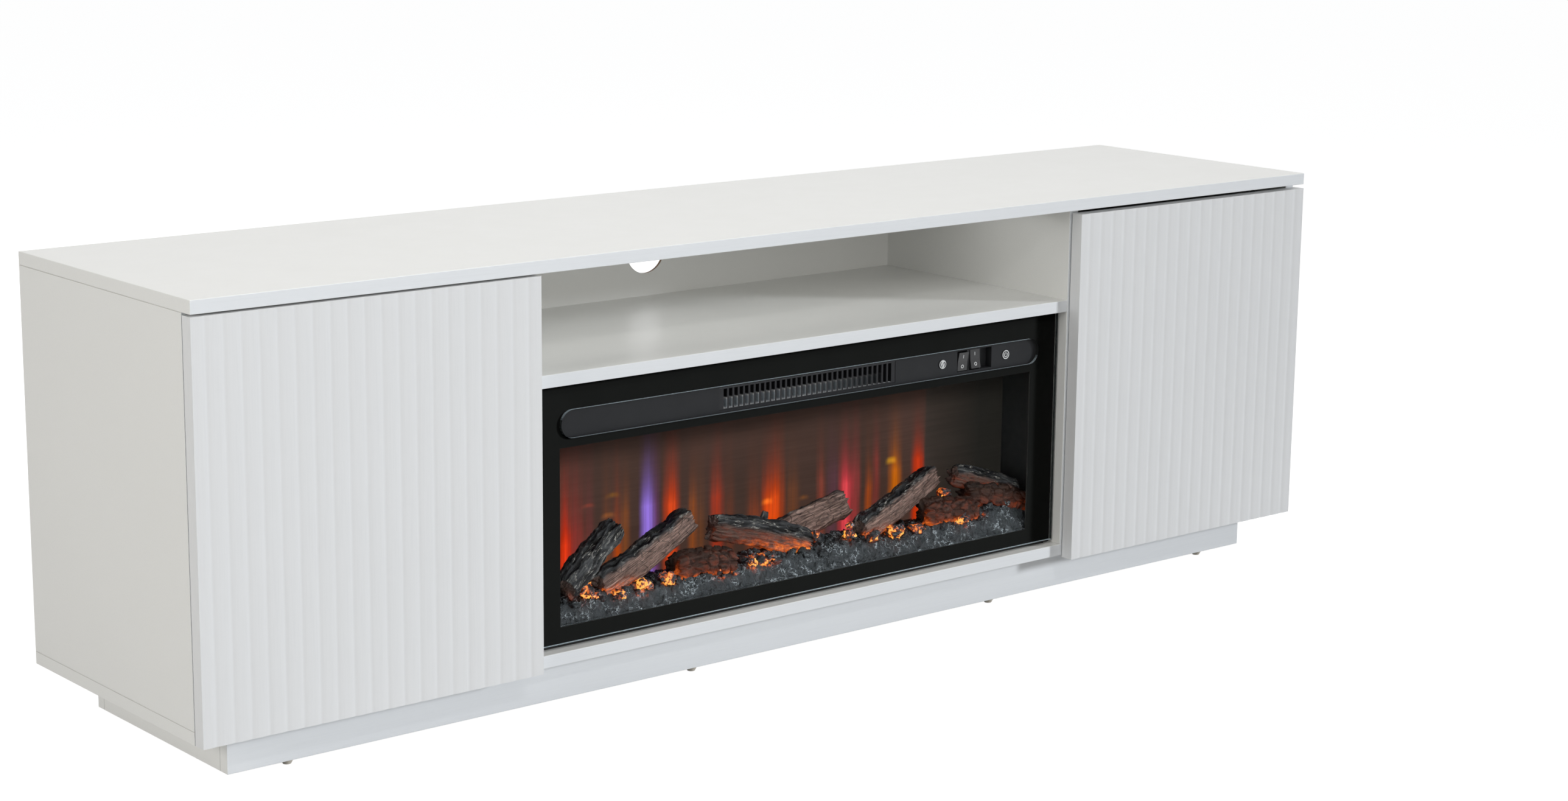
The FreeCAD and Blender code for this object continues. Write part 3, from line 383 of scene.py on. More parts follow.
# Flame picture: each streak's place, half width and the height from which it fades, in millimetres, its
# colour below that, and how much of it is left at the picture's top
STREAKS = (
    (-324, 15, 172, (0.62, 0.028, 0.0), 0.03),
    (-308, 26, 185, (0.17, 0.012, 0.010), 0.12),
    (-284, 10, 190, (0.06, 0.006, 0.008), 0.20),
    (-258, 12, 180, (0.10, 0.020, 0.0), 0.06),
    (-242, 10, 155, (0.38, 0.050, 0.0), 0.02),
    (-229, 11, 200, (0.13, 0.030, 0.0), 0.02),
    (-194, 16, 203, (0.26, 0.150, 0.66), 0.03),
    (-181, 10, 205, (0.07, 0.015, 0.08), 0.10),
    (-156, 18, 200, (0.66, 0.055, 0.005), 0.036),
    (-120, 11, 198, (0.17, 0.035, 0.0), 0.012),
    (-107, 12, 180, (0.06, 0.015, 0.0), 0.05),
    (-81, 16, 198, (0.30, 0.022, 0.004), 0.024),
    (-60, 12, 185, (0.06, 0.008, 0.0), 0.05),
    (-20, 18, 170, (0.14, 0.018, 0.0), 0.012),
    (2, 13, 176, (0.62, 0.055, 0.0), 0.006),
    (15, 15, 184, (0.68, 0.060, 0.0), 0.016),
    (27, 10, 190, (0.18, 0.020, 0.0), 0.05),
    (46, 17, 190, (0.08, 0.018, 0.0), 0.01),
    (96, 11, 195, (0.15, 0.022, 0.012), 0.02),
    (116, 16, 200, (0.04, 0.008, 0.025), 0.05),
    (139, 17, 184, (0.68, 0.050, 0.065), 0.01),
    (157, 12, 195, (0.20, 0.018, 0.020), 0.05),
    (180, 10, 172, (0.26, 0.040, 0.0), 0.004),
    (193, 10, 210, (0.12, 0.010, 0.008), 0.03),
    (227, 17, 190, (0.46, 0.105, 0.0), 0.014),
    (270, 16, 200, (0.54, 0.030, 0.0), 0.006),
)
# Curled tips of flame: place, height, half width and half depth in millimetres, and colour
CURLS = (
    (3, 180, 13, 6, (0.45, 0.12, 0.01)),
    (221, 205, 13, 7, (0.45, 0.22, 0.01)),
    (-256, 201, 15, 5, (0.16, 0.05, 0.01)),
    (-249, 226, 15, 5, (0.10, 0.04, 0.0)),
    (-287, 218, 14, 4, (0.12, 0.02, 0.01)),
    (66, 176, 12, 5, (0.10, 0.03, 0.0)),
)
CURL_BEND = 12.0
PICTURE_RIGHT, PICTURE_EDGE, PICTURE_TOP = 283 * MM, 3 * MM, 296 * MM
PICTURE_DIM_FROM, PICTURE_DIM_LEFT = 262 * MM, 0.35
WAVER, WAVER_STRETCH, WAVER_SPAN = (9.0, 2), (0.8, 0.0, 1.0), (0.2, 0.8, -3 * MM, 3 * MM)
STREAK, STREAK_STRETCH, STREAK_HARSH = (1.0, 4), (210.0, 0.0, 6.0), 0.6
STREAK_SPAN = (0.28, 0.72, 0.6, 1.4)
BRUSH, BRUSH_STRETCH, BRUSH_SHADES = (1.0, 2), (8.0, 0.0, 240.0), (0.90, 1.08)
HAZE = (7.0, 3)
HAZE_LOW, HAZE_HIGH = (0.047, 0.025, 0.018, 1.0), (0.065, 0.033, 0.025, 1.0)
HAZE_LOST_AT, HAZE_LEFT = 0.4, 0.15
UNLIT_NEAR, UNLIT_FAR = (0.036, 0.026, 0.021, 1.0), (0.013, 0.012, 0.010, 1.0)
SCREEN_DARK_FROM = 385 * MM
SCREEN_BLACK, SCREEN_ROUGHNESS = (0.005, 0.005, 0.005, 1.0), 0.5


def flame_picture(look):
    """Glowing streaks thrown on the screen by the turning mirrors, over a brown haze."""
    place_x, z = look.along("X"), look.along("Z")
    x = look.math("ADD", place_x, look.span(look.noise(*WAVER, stretch=WAVER_STRETCH), *WAVER_SPAN))
    fine = look.span(look.noise(*STREAK, stretch=STREAK_STRETCH, harsh=STREAK_HARSH), *STREAK_SPAN)
    brush = look.uneven(look.noise(*BRUSH, stretch=BRUSH_STRETCH), BRUSH_SHADES)
    inside = look.span(place_x, PICTURE_RIGHT + PICTURE_EDGE, PICTURE_RIGHT - PICTURE_EDGE, smooth=True)
    haze = look.mix(look.span(look.noise(*HAZE), *NOISE_RANGE), HAZE_LOW, HAZE_HIGH)
    unlit = look.mix(look.span(place_x, PICTURE_RIGHT, SCREEN_DARK_FROM), UNLIT_NEAR, UNLIT_FAR)
    light = look.scaled(look.mix(inside, unlit, haze), brush)
    streaks = (0.0, 0.0, 0.0)
    for middle, half, start, color, left in STREAKS:
        body = look.span(look.distance(x, middle * MM), half * MM, 0.0, smooth=True)
        fade = look.math("POWER", left, look.span(z, start * MM, PICTURE_TOP))
        streaks = look.added(streaks, color, look.product(body, fade))
    for middle, height, half, depth, color in CURLS:
        offset = look.math("SUBTRACT", place_x, middle * MM)
        arch = look.product(look.product(offset, offset), -CURL_BEND)
        drop = look.distance(z, look.math("ADD", arch, height * MM))
        body = look.product(look.span(look.math("ABSOLUTE", offset), half * MM, 0.0, smooth=True),
                            look.span(drop, depth * MM, 0.0, smooth=True))
        streaks = look.added(streaks, color, body)
    streaks = look.scaled(streaks, look.product(fine, inside))
    red = look.node("SeparateXYZ", {0: streaks}, "X")
    light = look.added(streaks, light, look.span(red, 0.0, HAZE_LOST_AT, 1.0, HAZE_LEFT))
    dim = look.span(z, PICTURE_DIM_FROM, PICTURE_TOP, 1.0, PICTURE_DIM_LEFT, smooth=True)
    look.put(Base_Color=SCREEN_BLACK, Roughness=SCREEN_ROUGHNESS, Specular_IOR_Level=0.0,
             Emission_Color=look.scaled(light, dim), Emission_Strength=1.0)


HEAT_TONES = (
    (0.0, (0.0, 0.0, 0.0, 1.0)), (0.25, (0.010, 0.001, 0.0, 1.0)), (0.45, (0.11, 0.014, 0.002, 1.0)),
    (0.65, (0.48, 0.075, 0.006, 1.0)), (0.84, (0.95, 0.23, 0.015, 1.0)), (1.0, (1.0, 0.52, 0.09, 1.0)),
)
GRIT, RIDGE, EMBER_HARSH = (190.0, 3), (120.0, 3), 0.6
# The second span paints light on faces that look to the front, on top of the ash patches
ASH, ASH_SPAN, FRONT_LIGHT_SPAN = (75.0, 4), (0.58, 0.80, 0.0, 0.7), (-0.2, -0.8, 0.0, 0.18)
LIT_PATCH, LIT_PATCH_SPAN = (80.0, 3), (0.38, 0.60, 0.05, 1.25)
LIT_GRAIN, LIT_GRAIN_SPAN = (210.0, 3), (0.42, 0.56, 0.30, 1.10)
# Painted glints: pale lines along the crests of the ridge noise, in patches
CREST_GLINT_SPAN, GLINT_PATCH, GLINT_PATCH_RANGE = (0.0, 0.026, 1.0, 0.0), (70.0, 3), (0.48, 0.66)
CRUST_TONES = (tone(16, 17, 18), tone(44, 47, 50))
# The second tone is the painted glint on the crests; the first is ash, and painted light on front faces
ASH_AND_LIGHT_TONE, CREST_GLINT_TONE = tone(80, 84, 88), tone(158, 166, 172)
EMBER_ROUGHNESS, EMBER_SHINE, EMBER_BUMP = (0.13, 0.24), 0.12, (1.0, -7.0 * MM)


def ember_resin(look):
    """Crumbled black resin with painted glints on its crests, ash and painted light on front faces, and a wet
    gloss, lit from below where it glows.
    """
    grit = look.noise(*GRIT, harsh=EMBER_HARSH)
    ridge = look.distance(look.noise(*RIDGE, harsh=EMBER_HARSH), NOISE_MIDDLE)
    # Ash patches, and painted light on faces to the front
    ash_and_front_light = look.math("ADD", look.span(look.noise(*ASH), *ASH_SPAN),
                    look.span(look.facing("Y"), *FRONT_LIGHT_SPAN))
    lit = look.product(look.span(look.noise(*LIT_PATCH), *LIT_PATCH_SPAN),
                       look.span(look.noise(*LIT_GRAIN), *LIT_GRAIN_SPAN))
    heat = look.product(look.value("glow"), lit)
    # Painted glints on the crests
    crest = look.product(look.span(ridge, *CREST_GLINT_SPAN),
                         look.span(look.noise(*GLINT_PATCH), *GLINT_PATCH_RANGE))
    crust = look.mix(ash_and_front_light, look.mix(grit, *CRUST_TONES), ASH_AND_LIGHT_TONE)
    look.put(Base_Color=look.mix(crest, crust, CREST_GLINT_TONE), Roughness=look.uneven(grit, EMBER_ROUGHNESS),
             Specular_IOR_Level=EMBER_SHINE, Emission_Strength=1.0,
             Emission_Color=look.ramp(heat, HEAT_TONES))
    look.bump(ridge, *EMBER_BUMP)


FURROW, FURROW_STRETCH = (1.0, 4), (45.0, 280.0, 280.0)
SPLINTER, SPLINTER_STRETCH = (1.0, 5), (40.0, 640.0, 640.0)
PATCH, PATCH_STRETCH = (1.0, 4), (90.0, 130.0, 130.0)
CRACK_CELLS, CRACK_STRETCH = 1.0, (38.0, 150.0, 150.0)
LOG_HARSH = 0.6
BARK_TONES = (
    (0.14, tone(6, 6, 7)), (0.46, tone(24, 24, 26)), (0.68, tone(52, 53, 55)), (0.84, tone(104, 102, 98)),
)
BARK_CREST_SHARE = 0.5
# Pale layer lines on the bark: partly ash, partly painted highlight
LAYER_AT, LAYER_SPAN, LAYER_PATCH_RANGE = 0.55, (0.0, 0.022, 1.0, 0.0), (0.45, 0.6)
LAYER_ASH_AND_GLINT_TONE = tone(160, 156, 150)
SPLIT_TONES = (
    (0.32, tone(24, 18, 17)), (0.45, tone(84, 66, 60)), (0.60, tone(124, 101, 93)),
    (0.76, tone(164, 140, 130)),
)
STAIN_SPAN, STAIN_TONE = (0.46, 0.74, 0.0, 0.75), tone(34, 27, 26)
CRACK_SPAN, CRACK_TONE = (0.0, 0.05, 0.8, 0.0), tone(10, 8, 8)
CHAR_TONES = ((0.3, tone(12, 9, 8)), (0.7, tone(54, 38, 32)))
LOG_LIT_SPAN = (0.30, 0.65, 0.45, 1.15)
LOG_ROUGHNESS, LOG_SHINE = (0.29, 0.46), 0.14
SPLINTER_RELIEF_SHARE, LOG_BUMP = 0.5, (0.9, 2.2 * MM)


def log_resin(look):
    """Moulded wood: black bark with pale layer lines, part ash and part painted highlight, reddish split grain
    with cracks, and charred faces that glow.
    """
    grain = look.node("Attribute", {}, "Vector", attribute_name="grain")
    furrow = look.noise(*FURROW, stretch=FURROW_STRETCH, vector=grain)
    splinter = look.noise(*SPLINTER, stretch=SPLINTER_STRETCH, vector=grain, harsh=LOG_HARSH)
    patch = look.noise(*PATCH, stretch=PATCH_STRETCH, vector=grain, harsh=LOG_HARSH)
    crack = look.cells(CRACK_CELLS, look.scaled(grain, CRACK_STRETCH), "DISTANCE_TO_EDGE")
    crest = look.product(look.math("ADD", look.value("ridge"), furrow), BARK_CREST_SHARE)
    # Layer lines: partly ash, partly painted highlight
    layer = look.product(look.span(look.distance(furrow, LAYER_AT), *LAYER_SPAN),
                         look.span(patch, *LAYER_PATCH_RANGE))
    bark = look.mix(layer, look.ramp(crest, BARK_TONES), LAYER_ASH_AND_GLINT_TONE)
    split = look.mix(look.span(patch, *STAIN_SPAN), look.ramp(splinter, SPLIT_TONES), STAIN_TONE)
    split = look.mix(look.span(crack, *CRACK_SPAN), split, CRACK_TONE)
    wood = look.mix(look.value("bark"), split, bark)
    heat = look.product(look.value("glow"), look.span(patch, *LOG_LIT_SPAN))
    look.put(Base_Color=look.mix(look.value("char"), wood, look.ramp(furrow, CHAR_TONES)),
             Roughness=look.uneven(furrow, LOG_ROUGHNESS), Specular_IOR_Level=LOG_SHINE,
             Emission_Color=look.ramp(heat, HEAT_TONES), Emission_Strength=1.0)
    splinters = look.product(splinter, SPLINTER_RELIEF_SHARE)
    look.bump(look.math("ADD", splinters, look.math("ADD", furrow, patch)), *LOG_BUMP)


INK_CLOUD, INK_SHADES = (900.0, 3), (0.85, 1.08)
INK_GLOSS, INK_ROUGHNESS = (500.0, 2), (0.4, 0.55)


def print_ink(look, color):
    """Printed mark, slightly uneven."""
    look.put(Base_Color=look.mottled(look.noise(*INK_CLOUD), color, INK_SHADES),
             Roughness=look.uneven(look.noise(*INK_GLOSS), INK_ROUGHNESS))


FLAT_GRAIN, UPRIGHT_GRAIN = (0.03, 1.0, 1.0), (1.0, 1.0, 0.03)
FINISHES = {
    # Boards: colour, stretch of the grain, and colour of the front edges where it differs
    "white_board": (coated, tone(235, 235, 232), FLAT_GRAIN, tone(231, 234, 237)),
    "white_door": (coated, tone(227, 228, 229), UPRIGHT_GRAIN),
    "white_hardboard": (hardboard, tone(236, 236, 233)),
    # Metals: colour, roughness and stretch of the brushed lines
    "zinc": (metal, tone(190, 192, 196), 0.32, (1.0, 0.1, 1.0)),
    "hinge_steel": (metal, tone(206, 206, 204), 0.22, (1.0, 1.0, 0.08)),
    "heater_metal": (metal, tone(206, 206, 206), 0.3, (1.0, 1.0, 0.1)),
    "motor_metal": (metal, tone(132, 134, 138), 0.4, (0.1, 1.0, 1.0)),
    "mirror_foil": (metal, tone(226, 226, 226), 0.1, (0.2, 1.0, 1.0)),
    # Coated sheet metal: colour, roughness and shine
    "black_frame": (powder_coat, tone(41, 41, 40), 0.5, 0.1),
    "housing_metal": (powder_coat, tone(30, 30, 31), 0.6, 0.3),
    # Plastics and what looks like them: colour, roughness, scale of the texture, shine where it is low
    "glide_plastic": (plastic, tone(196, 190, 178), 0.45, 500.0),
    "latch_plastic": (plastic, tone(150, 152, 154), 0.5, 420.0),
    "plunger_plastic": (plastic, tone(206, 206, 200), 0.4, 420.0),
    "fascia_plastic": (plastic, tone(41, 42, 44), 0.5, 900.0, 0.15),
    "button_plastic": (plastic, tone(52, 53, 56), 0.3, 700.0),
    "rocker_plastic": (plastic, tone(40, 41, 43), 0.2, 300.0),
    "duct_metal": (plastic, tone(176, 182, 188), 0.4, 300.0),
    "blower_plastic": (plastic, tone(48, 48, 50), 0.5, 350.0),
    "light_strip": (plastic, tone(226, 220, 196), 0.5, 300.0),
    "gland_plastic": (plastic, tone(34, 34, 35), 0.5, 500.0),
    # Pieces with a finish of their own
    "clear_glass": (glass_pane,),
    "grille_metal": (grille_metal,),
    "circuit_board": (circuit,),
    "screen_plastic": (flame_picture,),
    "ember_resin": (ember_resin,),
    "log_resin": (log_resin,),
}
finishes = {name: finish(name, *values) for name, values in FINISHES.items()}
for part in frame["record"]["subparts"]:
    for holder in nodes[part["node"]].material_slots:
        holder.material = finishes[part["material_slot"]]


# Pieces

def add_piece(name, mesh, body, slot, *replaced):
    """A new piece on a body, in the frame's own places."""
    piece = bpy.data.objects.new(name, mesh)
    scene.collection.objects.link(piece)
    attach(piece, body)
    if replaced:
        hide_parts(*replaced)


def make_mesh(name, points, faces, material, smooth=True, values=None):
    """Mesh with its finish and its named values, one for each point."""
    mesh = bpy.data.meshes.new(name)
    mesh.from_pydata([tuple(point) for point in points], [], faces)
    mesh.materials.append(material)
    if smooth:
        mesh.shade_smooth()
    else:
        mesh.shade_flat()
    for key, numbers in (values or {}).items():
        flat = np.asarray(numbers, np.float32)
        kind, field = ("FLOAT", "value") if flat.ndim == 1 else ("FLOAT_VECTOR", "vector")
        mesh.attributes.new(key, kind, "POINT").data.foreach_set(field, flat.ravel())
    mesh.update()
    return mesh


def smoothstep(low, high, value):
    share = min(max((value - low) / (high - low), 0.0), 1.0)
    return share * share * (3 - 2 * share)


# Front glass, with its ground edges

PANE_FACING = 0.5
pane = nodes["front_glass"].data.copy()
pane.name = "front_pane"
pane.materials.clear()
pane.materials.append(finishes["clear_glass"])
pane.materials.append(finish("glass_edge", glass_edge))
for face in pane.polygons:
    face.material_index = int(abs(face.normal.y) < PANE_FACING)
add_piece("front_pane", pane, ROOT, "clear_glass", "front_glass")


# Ember bed

bed_low, bed_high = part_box("ember_bed")
BED_STEP = 1.25 * MM
BED_FRONT, BED_RISE, BED_RISE_DEPTH = 100 * MM, 22 * MM, 18 * MM
BED_FALL, BED_FALL_FROM, BED_FALL_TO = 7 * MM, 40 * MM, 84 * MM
# Heaps in the bed: x, y, half widths in both ways and height, in millimetres
HEAPS = (
    (-335, -128, 40, 20, 8), (-60, -132, 45, 16, 8), (60, -125, 60, 22, 8), (270, -125, 40, 20, 10),
    (368, -126, 48, 20, 20),
)
# Lit coals: x, y, z and size in millimetres, and how hot
LIT_COALS = (
    (-343, -150, 134, 13, 0.95), (-331, -152, 126, 9, 0.8), (-296, -155, 122, 9, 1.05),
    (-283, -154, 125, 6, 0.7), (-258, -152, 128, 12, 1.1), (-247, -151, 124, 7, 0.8),
    (-213, -150, 127, 11, 0.85), (-222, -150, 131, 7, 0.7), (-134, -150, 127, 12, 1.15),
    (-110, -153, 118, 6, 0.6), (-80, -147, 126, 10, 0.95), (-62, -146, 125, 11, 1.05),
    (-46, -147, 127, 8, 0.8), (33, -141, 141, 10, 0.75), (89, -145, 135, 9, 1.15),
    (91, -144, 147, 6, 0.95), (127, -150, 128, 10, 0.75), (163, -150, 128, 13, 1.15),
    (175, -149, 131, 7, 0.8), (205, -150, 127, 11, 0.8), (288, -150, 128, 12, 1.1),
    (276, -126, 160, 10, 0.75), (262, -130, 150, 8, 0.6), (330, -150, 126, 7, 0.5),
)
WARM_REACH, WARMEST, WARM_GLOW = 1.35, 1.2, 0.66
# Crumbs and wrinkles: waves in a metre, place in the noise, and heights in millimetres
WARP_WAVES, WRINKLE_WAVES, CRUMB_WAVES, CREASE_WAVES_SHARE = 60, 105, 88, 2.1
WARP_LAYER, CRUMB_LAYER, CREASE_OFFSET = 3.0, 1.0, Vector((7.0, 0.0, 0.0))
WARP, WRINKLE_SHARPNESS, CRUMB_REACH = 0.5, 2.4, 0.75
CRUMB_HEIGHT, WRINKLE_HEIGHT, CREASE_HEIGHT, CRUMPLE_MEAN = 3.8, 2.6, 2.1, 4.0
CRUMPLE_EDGE, CRUMPLE_EDGE_SHARE = 6 * MM, 0.3
WARP_SEED = 7
noise.seed_set(WARP_SEED)


def bed_base(x, y):
    """Height of the bed before its crumbs: a steep front, heaps, and a slow fall to the back."""
    depth = y - bed_low.y
    height = BED_FRONT + BED_RISE * smoothstep(0.0, BED_RISE_DEPTH, depth)
    height -= BED_FALL * smoothstep(BED_FALL_FROM, BED_FALL_TO, depth)
    for heap_x, heap_y, wide, deep, rise in HEAPS:
        away = ((x / MM - heap_x) / wide) ** 2 + ((y / MM - heap_y) / deep) ** 2
        height += rise * MM * math.exp(-away) * smoothstep(0.0, BED_RISE_DEPTH, depth)
    return height


def warmth(x, y, z):
    """How much the lit coals warm a place near them."""
    total = 0.0
    for coal_x, coal_y, coal_z, size, heat in LIT_COALS:
        away = (x / MM - coal_x) ** 2 + (y / MM - coal_y) ** 2 + (z / MM - coal_z) ** 2
        total += heat * math.exp(-away / (size * WARM_REACH) ** 2)
    return min(total, WARMEST)


def crumple(x, y):
    """Crumbs and sharp wrinkles of the resin, as a height."""
    warp = noise.noise_vector(Vector((x * WARP_WAVES, y * WARP_WAVES, WARP_LAYER))) * WARP
    fine = Vector((x * WRINKLE_WAVES, y * WRINKLE_WAVES, 0.0)) + warp
    wrinkle = 1 - abs(noise.noise(fine)) * WRINKLE_SHARPNESS
    crease = 1 - abs(noise.noise(fine * CREASE_WAVES_SHARE + CREASE_OFFSET)) * WRINKLE_SHARPNESS
    near = noise.voronoi(Vector((x * CRUMB_WAVES, y * CRUMB_WAVES, CRUMB_LAYER)))[0][0]
    crumb = math.sqrt(max(0.0, 1 - (near / CRUMB_REACH) ** 2))
    return (CRUMB_HEIGHT * crumb + WRINKLE_HEIGHT * wrinkle + CREASE_HEIGHT * crease - CRUMPLE_MEAN) * MM


def bed_height(x, y):
    """Height of the bed with its crumbs, which are flatter at the front edge."""
    inner = smoothstep(0.0, CRUMPLE_EDGE, y - bed_low.y)
    return bed_base(x, y) + crumple(x, y) * (CRUMPLE_EDGE_SHARE + (1 - CRUMPLE_EDGE_SHARE) * inner)


def ember_surface():
    """Closed crumbled bed over the plain one's outline."""
    xs = np.arange(bed_low.x, bed_high.x + BED_STEP / 2, BED_STEP)
    ys = np.arange(bed_low.y, bed_high.y + BED_STEP / 2, BED_STEP)
    points = [(x, y, bed_height(x, y)) for y in ys for x in xs]
    glow = [WARM_GLOW * warmth(*point) for point in points]
    wide, deep = len(xs), len(ys)
    faces = [(j * wide + i, j * wide + i + 1, (j + 1) * wide + i + 1, (j + 1) * wide + i)
             for j in range(deep - 1) for i in range(wide - 1)]
    rim = list(range(wide))
    rim += [j * wide + wide - 1 for j in range(1, deep)]
    rim += [(deep - 1) * wide + i for i in range(wide - 2, -1, -1)]
    rim += [j * wide for j in range(deep - 2, 0, -1)]
    foot = len(points)
    points += [(points[k][0], points[k][1], bed_low.z) for k in rim]
    glow += [0.0] * len(rim)
    for k in range(len(rim)):
        after = (k + 1) % len(rim)
        faces.append((rim[after], rim[k], foot + k, foot + after))
    faces.append(tuple(foot + k for k in reversed(range(len(rim)))))
    return make_mesh("ember_crumble", points, faces, finishes["ember_resin"], values={"glow": glow})


add_piece("ember_crumble", ember_surface(), ROOT, "ember_resin", "ember_bed")


# Coals on the bed

COAL_COUNT, COAL_SEED = 240, 11
COAL_SIZES, COAL_SHAPES, COAL_TILTS = (3.5 * MM, 9.0 * MM), (0.7, 1.1), (-0.6, 0.6)
COAL_MARGIN, COAL_LIFT_SHARE, COAL_FLATNESS = 11 * MM, 0.2, 0.75
# Powers of the ball's coordinates: 1 leaves it round, less makes it boxy
DARK_COAL_POWER, LIT_COAL_POWER = 1.0, 0.8
COAL_BALL_LEVEL, COAL_BALL_SHARE = 3, 0.9
# Lumps and dents of a coal: height and waves, as shares of its radius
COAL_LUMPS, COAL_DENTS = (0.45, 1.5), (0.34, 3.6)
COAL_NOISE_PLACES = (-50, 50)
COAL_TOP_COOLING = 0.35
FIRE_FRONT_GAP = 1.0 * MM
fire_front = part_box("front_frame")[1].y + FIRE_FRONT_GAP
draw = np.random.RandomState(COAL_SEED)


def unit_ball():
    """Points and faces of a ball with evenly spread points."""
    shell = bmesh.new()
    bmesh.ops.create_icosphere(shell, subdivisions=COAL_BALL_LEVEL, radius=1.0)
    shell.verts.ensure_lookup_table()
    points = [corner.co.copy() for corner in shell.verts]
    faces = [tuple(corner.index for corner in face.verts) for face in shell.faces]
    shell.free()
    return points, faces


def coal_places():
    """Place, size, heat and power of each coal: scattered dark ones, then the lit ones."""
    for _ in range(COAL_COUNT):
        x = draw.uniform(bed_low.x + COAL_MARGIN, bed_high.x - COAL_MARGIN)
        y = draw.uniform(bed_low.y + COAL_MARGIN, bed_high.y - COAL_MARGIN)
        size = draw.uniform(*COAL_SIZES)
        z = bed_base(x, y) + size * COAL_LIFT_SHARE
        yield Vector((x, y, z)), size, WARM_GLOW * warmth(x, y, z), DARK_COAL_POWER
    for x, y, z, size, heat in LIT_COALS:
        yield Vector((x, y, z)) * MM, size * MM, heat, LIT_COAL_POWER


def coals():
    ball, ball_faces = unit_ball()
    points, faces, glow = [], [], []
    for middle, size, heat, power in coal_places():
        seed = Vector(draw.uniform(*COAL_NOISE_PLACES, 3))
        shape = Vector(draw.uniform(*COAL_SHAPES, 3)) * size
        shape.z *= COAL_FLATNESS
        turn = Matrix.Rotation(draw.uniform(0, TURN), 3, "Z")
        spin = turn @ Matrix.Rotation(draw.uniform(*COAL_TILTS), 3, "X")
        first = len(points)
        for spot in ball:
            boxed = Vector(math.copysign(abs(part) ** power, part) for part in spot)
            rough = COAL_BALL_SHARE
            for height, waves in (COAL_LUMPS, COAL_DENTS):
                rough += height * noise.noise(spot * waves + seed)
            place = middle + spin @ Vector(a * b for a, b in zip(boxed * rough, shape))
            points.append((place.x, max(place.y, fire_front), place.z))
            glow.append(heat * (1.0 - COAL_TOP_COOLING * max(spot.z, 0.0)))
        faces += [tuple(first + k for k in face) for face in ball_faces]
    return make_mesh("ember_coals", points, faces, finishes["ember_resin"], values={"glow": glow})


add_piece("ember_coals", coals(), ROOT, "ember_resin")


# Logs: kind, both ends as x, y, z, both radii and the bend upwards, in millimetres

LOGS = (
    ("bark", (-368, -144, 139), (-276, -117, 194), (18, 16), 2),
    ("split", (-312, -140, 128), (-153, -110, 184), (21, 20), -3),
    ("ember", (-110, -108, 168), (22, -136, 131), (18, 19), 4),
    ("wedge", (-16, -101, 136), (120, -94, 163), (20, 20), 0),
    ("split", (119, -138, 133), (270, -107, 181), (21, 19), -3),
    ("ember", (312, -108, 176), (404, -130, 143), (17, 17), 3),
    ("char", (-194, -138, 136), (-110, -143, 132), (19, 18), 3),
    ("char", (232, -136, 140), (316, -141, 135), (20, 18), 3),
    ("dull", (322, -120, 150), (410, -138, 132), (19, 17), 2),
    ("bark", (-37, -117, 160), (-33, -119, 179), (6, 4), 0),
)
# Split faces of each kind: angle from the top towards the front and distance as a share of the radius
FACETS = {
    "bark": (),
    "split": ((88, 0.56), (146, 0.80)),
    "ember": ((104, 0.56), (30, 0.90)),
    "wedge": ((62, 0.60), (-30, 0.84)),
    "char": ((78, 0.86), (10, 0.88)),
    "dull": ((80, 0.9),),
}
FACET_LEAST = 0.15
# Where each kind has bark: from and to, as angles from the top towards the front
BARK = {
    "bark": (-180, 180), "split": (-180, 34), "ember": (-180, 64), "wedge": (-180, 4), "char": (0, 0),
    "dull": (0, 0),
}
BARK_BLEND = 9
CHAR = {"bark": 0.0, "split": 0.0, "ember": 0.6, "wedge": 0.0, "char": 1.0, "dull": 1.0}
# Glow of each kind: all over, added at the foot, taken off in cracks, the share that bark hides, and the
# angles between which it comes in
GLOW = {
    "bark": (0.0, 0.40, 0.0, 0.0, (20, 80)),
    "split": (0.0, 0.70, 0.0, 1.0, (20, 80)),
    "ember": (0.34, 0.42, 0.0, 1.0, (20, 80)),
    "wedge": (0.0, 0.40, 0.0, 0.0, (20, 80)),
    "char": (0.36, 0.34, 0.16, 0.0, (-30, 50)),
    "dull": (0.24, 0.20, 0.12, 0.0, (20, 80)),
}
GLOW_HEIGHTS, SPLIT_GLOW_END = (30 * MM, 2 * MM), (0.2, 0.6)
LOG_RINGS, LOG_SIDES, LOG_SEED = 110, 84, 3.7
# Waves in a metre, along and around a log or the same both ways
RIDGE_WAVES, GRAIN_WAVES, SPLINT_WAVES, CRACK_WAVES = (22, 175), (14, 520), (20, 150), (62, 70)
SWELL_WAVES, BARK_EDGE_WAVES, SWAY_WAVES, LUMP_WAVES, DENT_WAVES = 28, 55, 45, 70, 170
SWELL_LAYER, BARK_EDGE_LAYER = 0.5, 2.5
# Heights as shares of the radius
SWELL_SHARE, RIDGE_SHARE, GRAIN_SHARE = 0.12, 0.20, 0.05
SPLINT_SHARE, LUMP_SHARE, CRACK_SHARE = 0.07, 0.07, 0.18
BARK_EDGE_SWAY, SWAY, SPLINT_STEPS, DENT_SHARE = 12, 0.9, 3, 0.7
RIDGE_SHARPNESS, FINE_RIDGE_SHARPNESS, FINE_RIDGE_WAVES_SHARE, RIDGE_MEAN = 2.2, 0.6, 2.6, 0.3
CRACK_RANGE = (0.03, 0.2)
# Ends: rings of the closing cap, and the torn edge as waves around it, depth and place in the noise
CAP_SHARES, CAP_BARK, CAP_HOLLOW = (0.88, 0.62, 0.32), 0.3, 0.12
TORN_EDGE, TORN_SHIFT = ((2.4, 0.55, 0), (7.0, 0.18, 4)), 9
TIP_RANGE, TIP_TAPER = (0.84, 1.0), 0.14
GRAIN_SEED_SHARE = 0.1


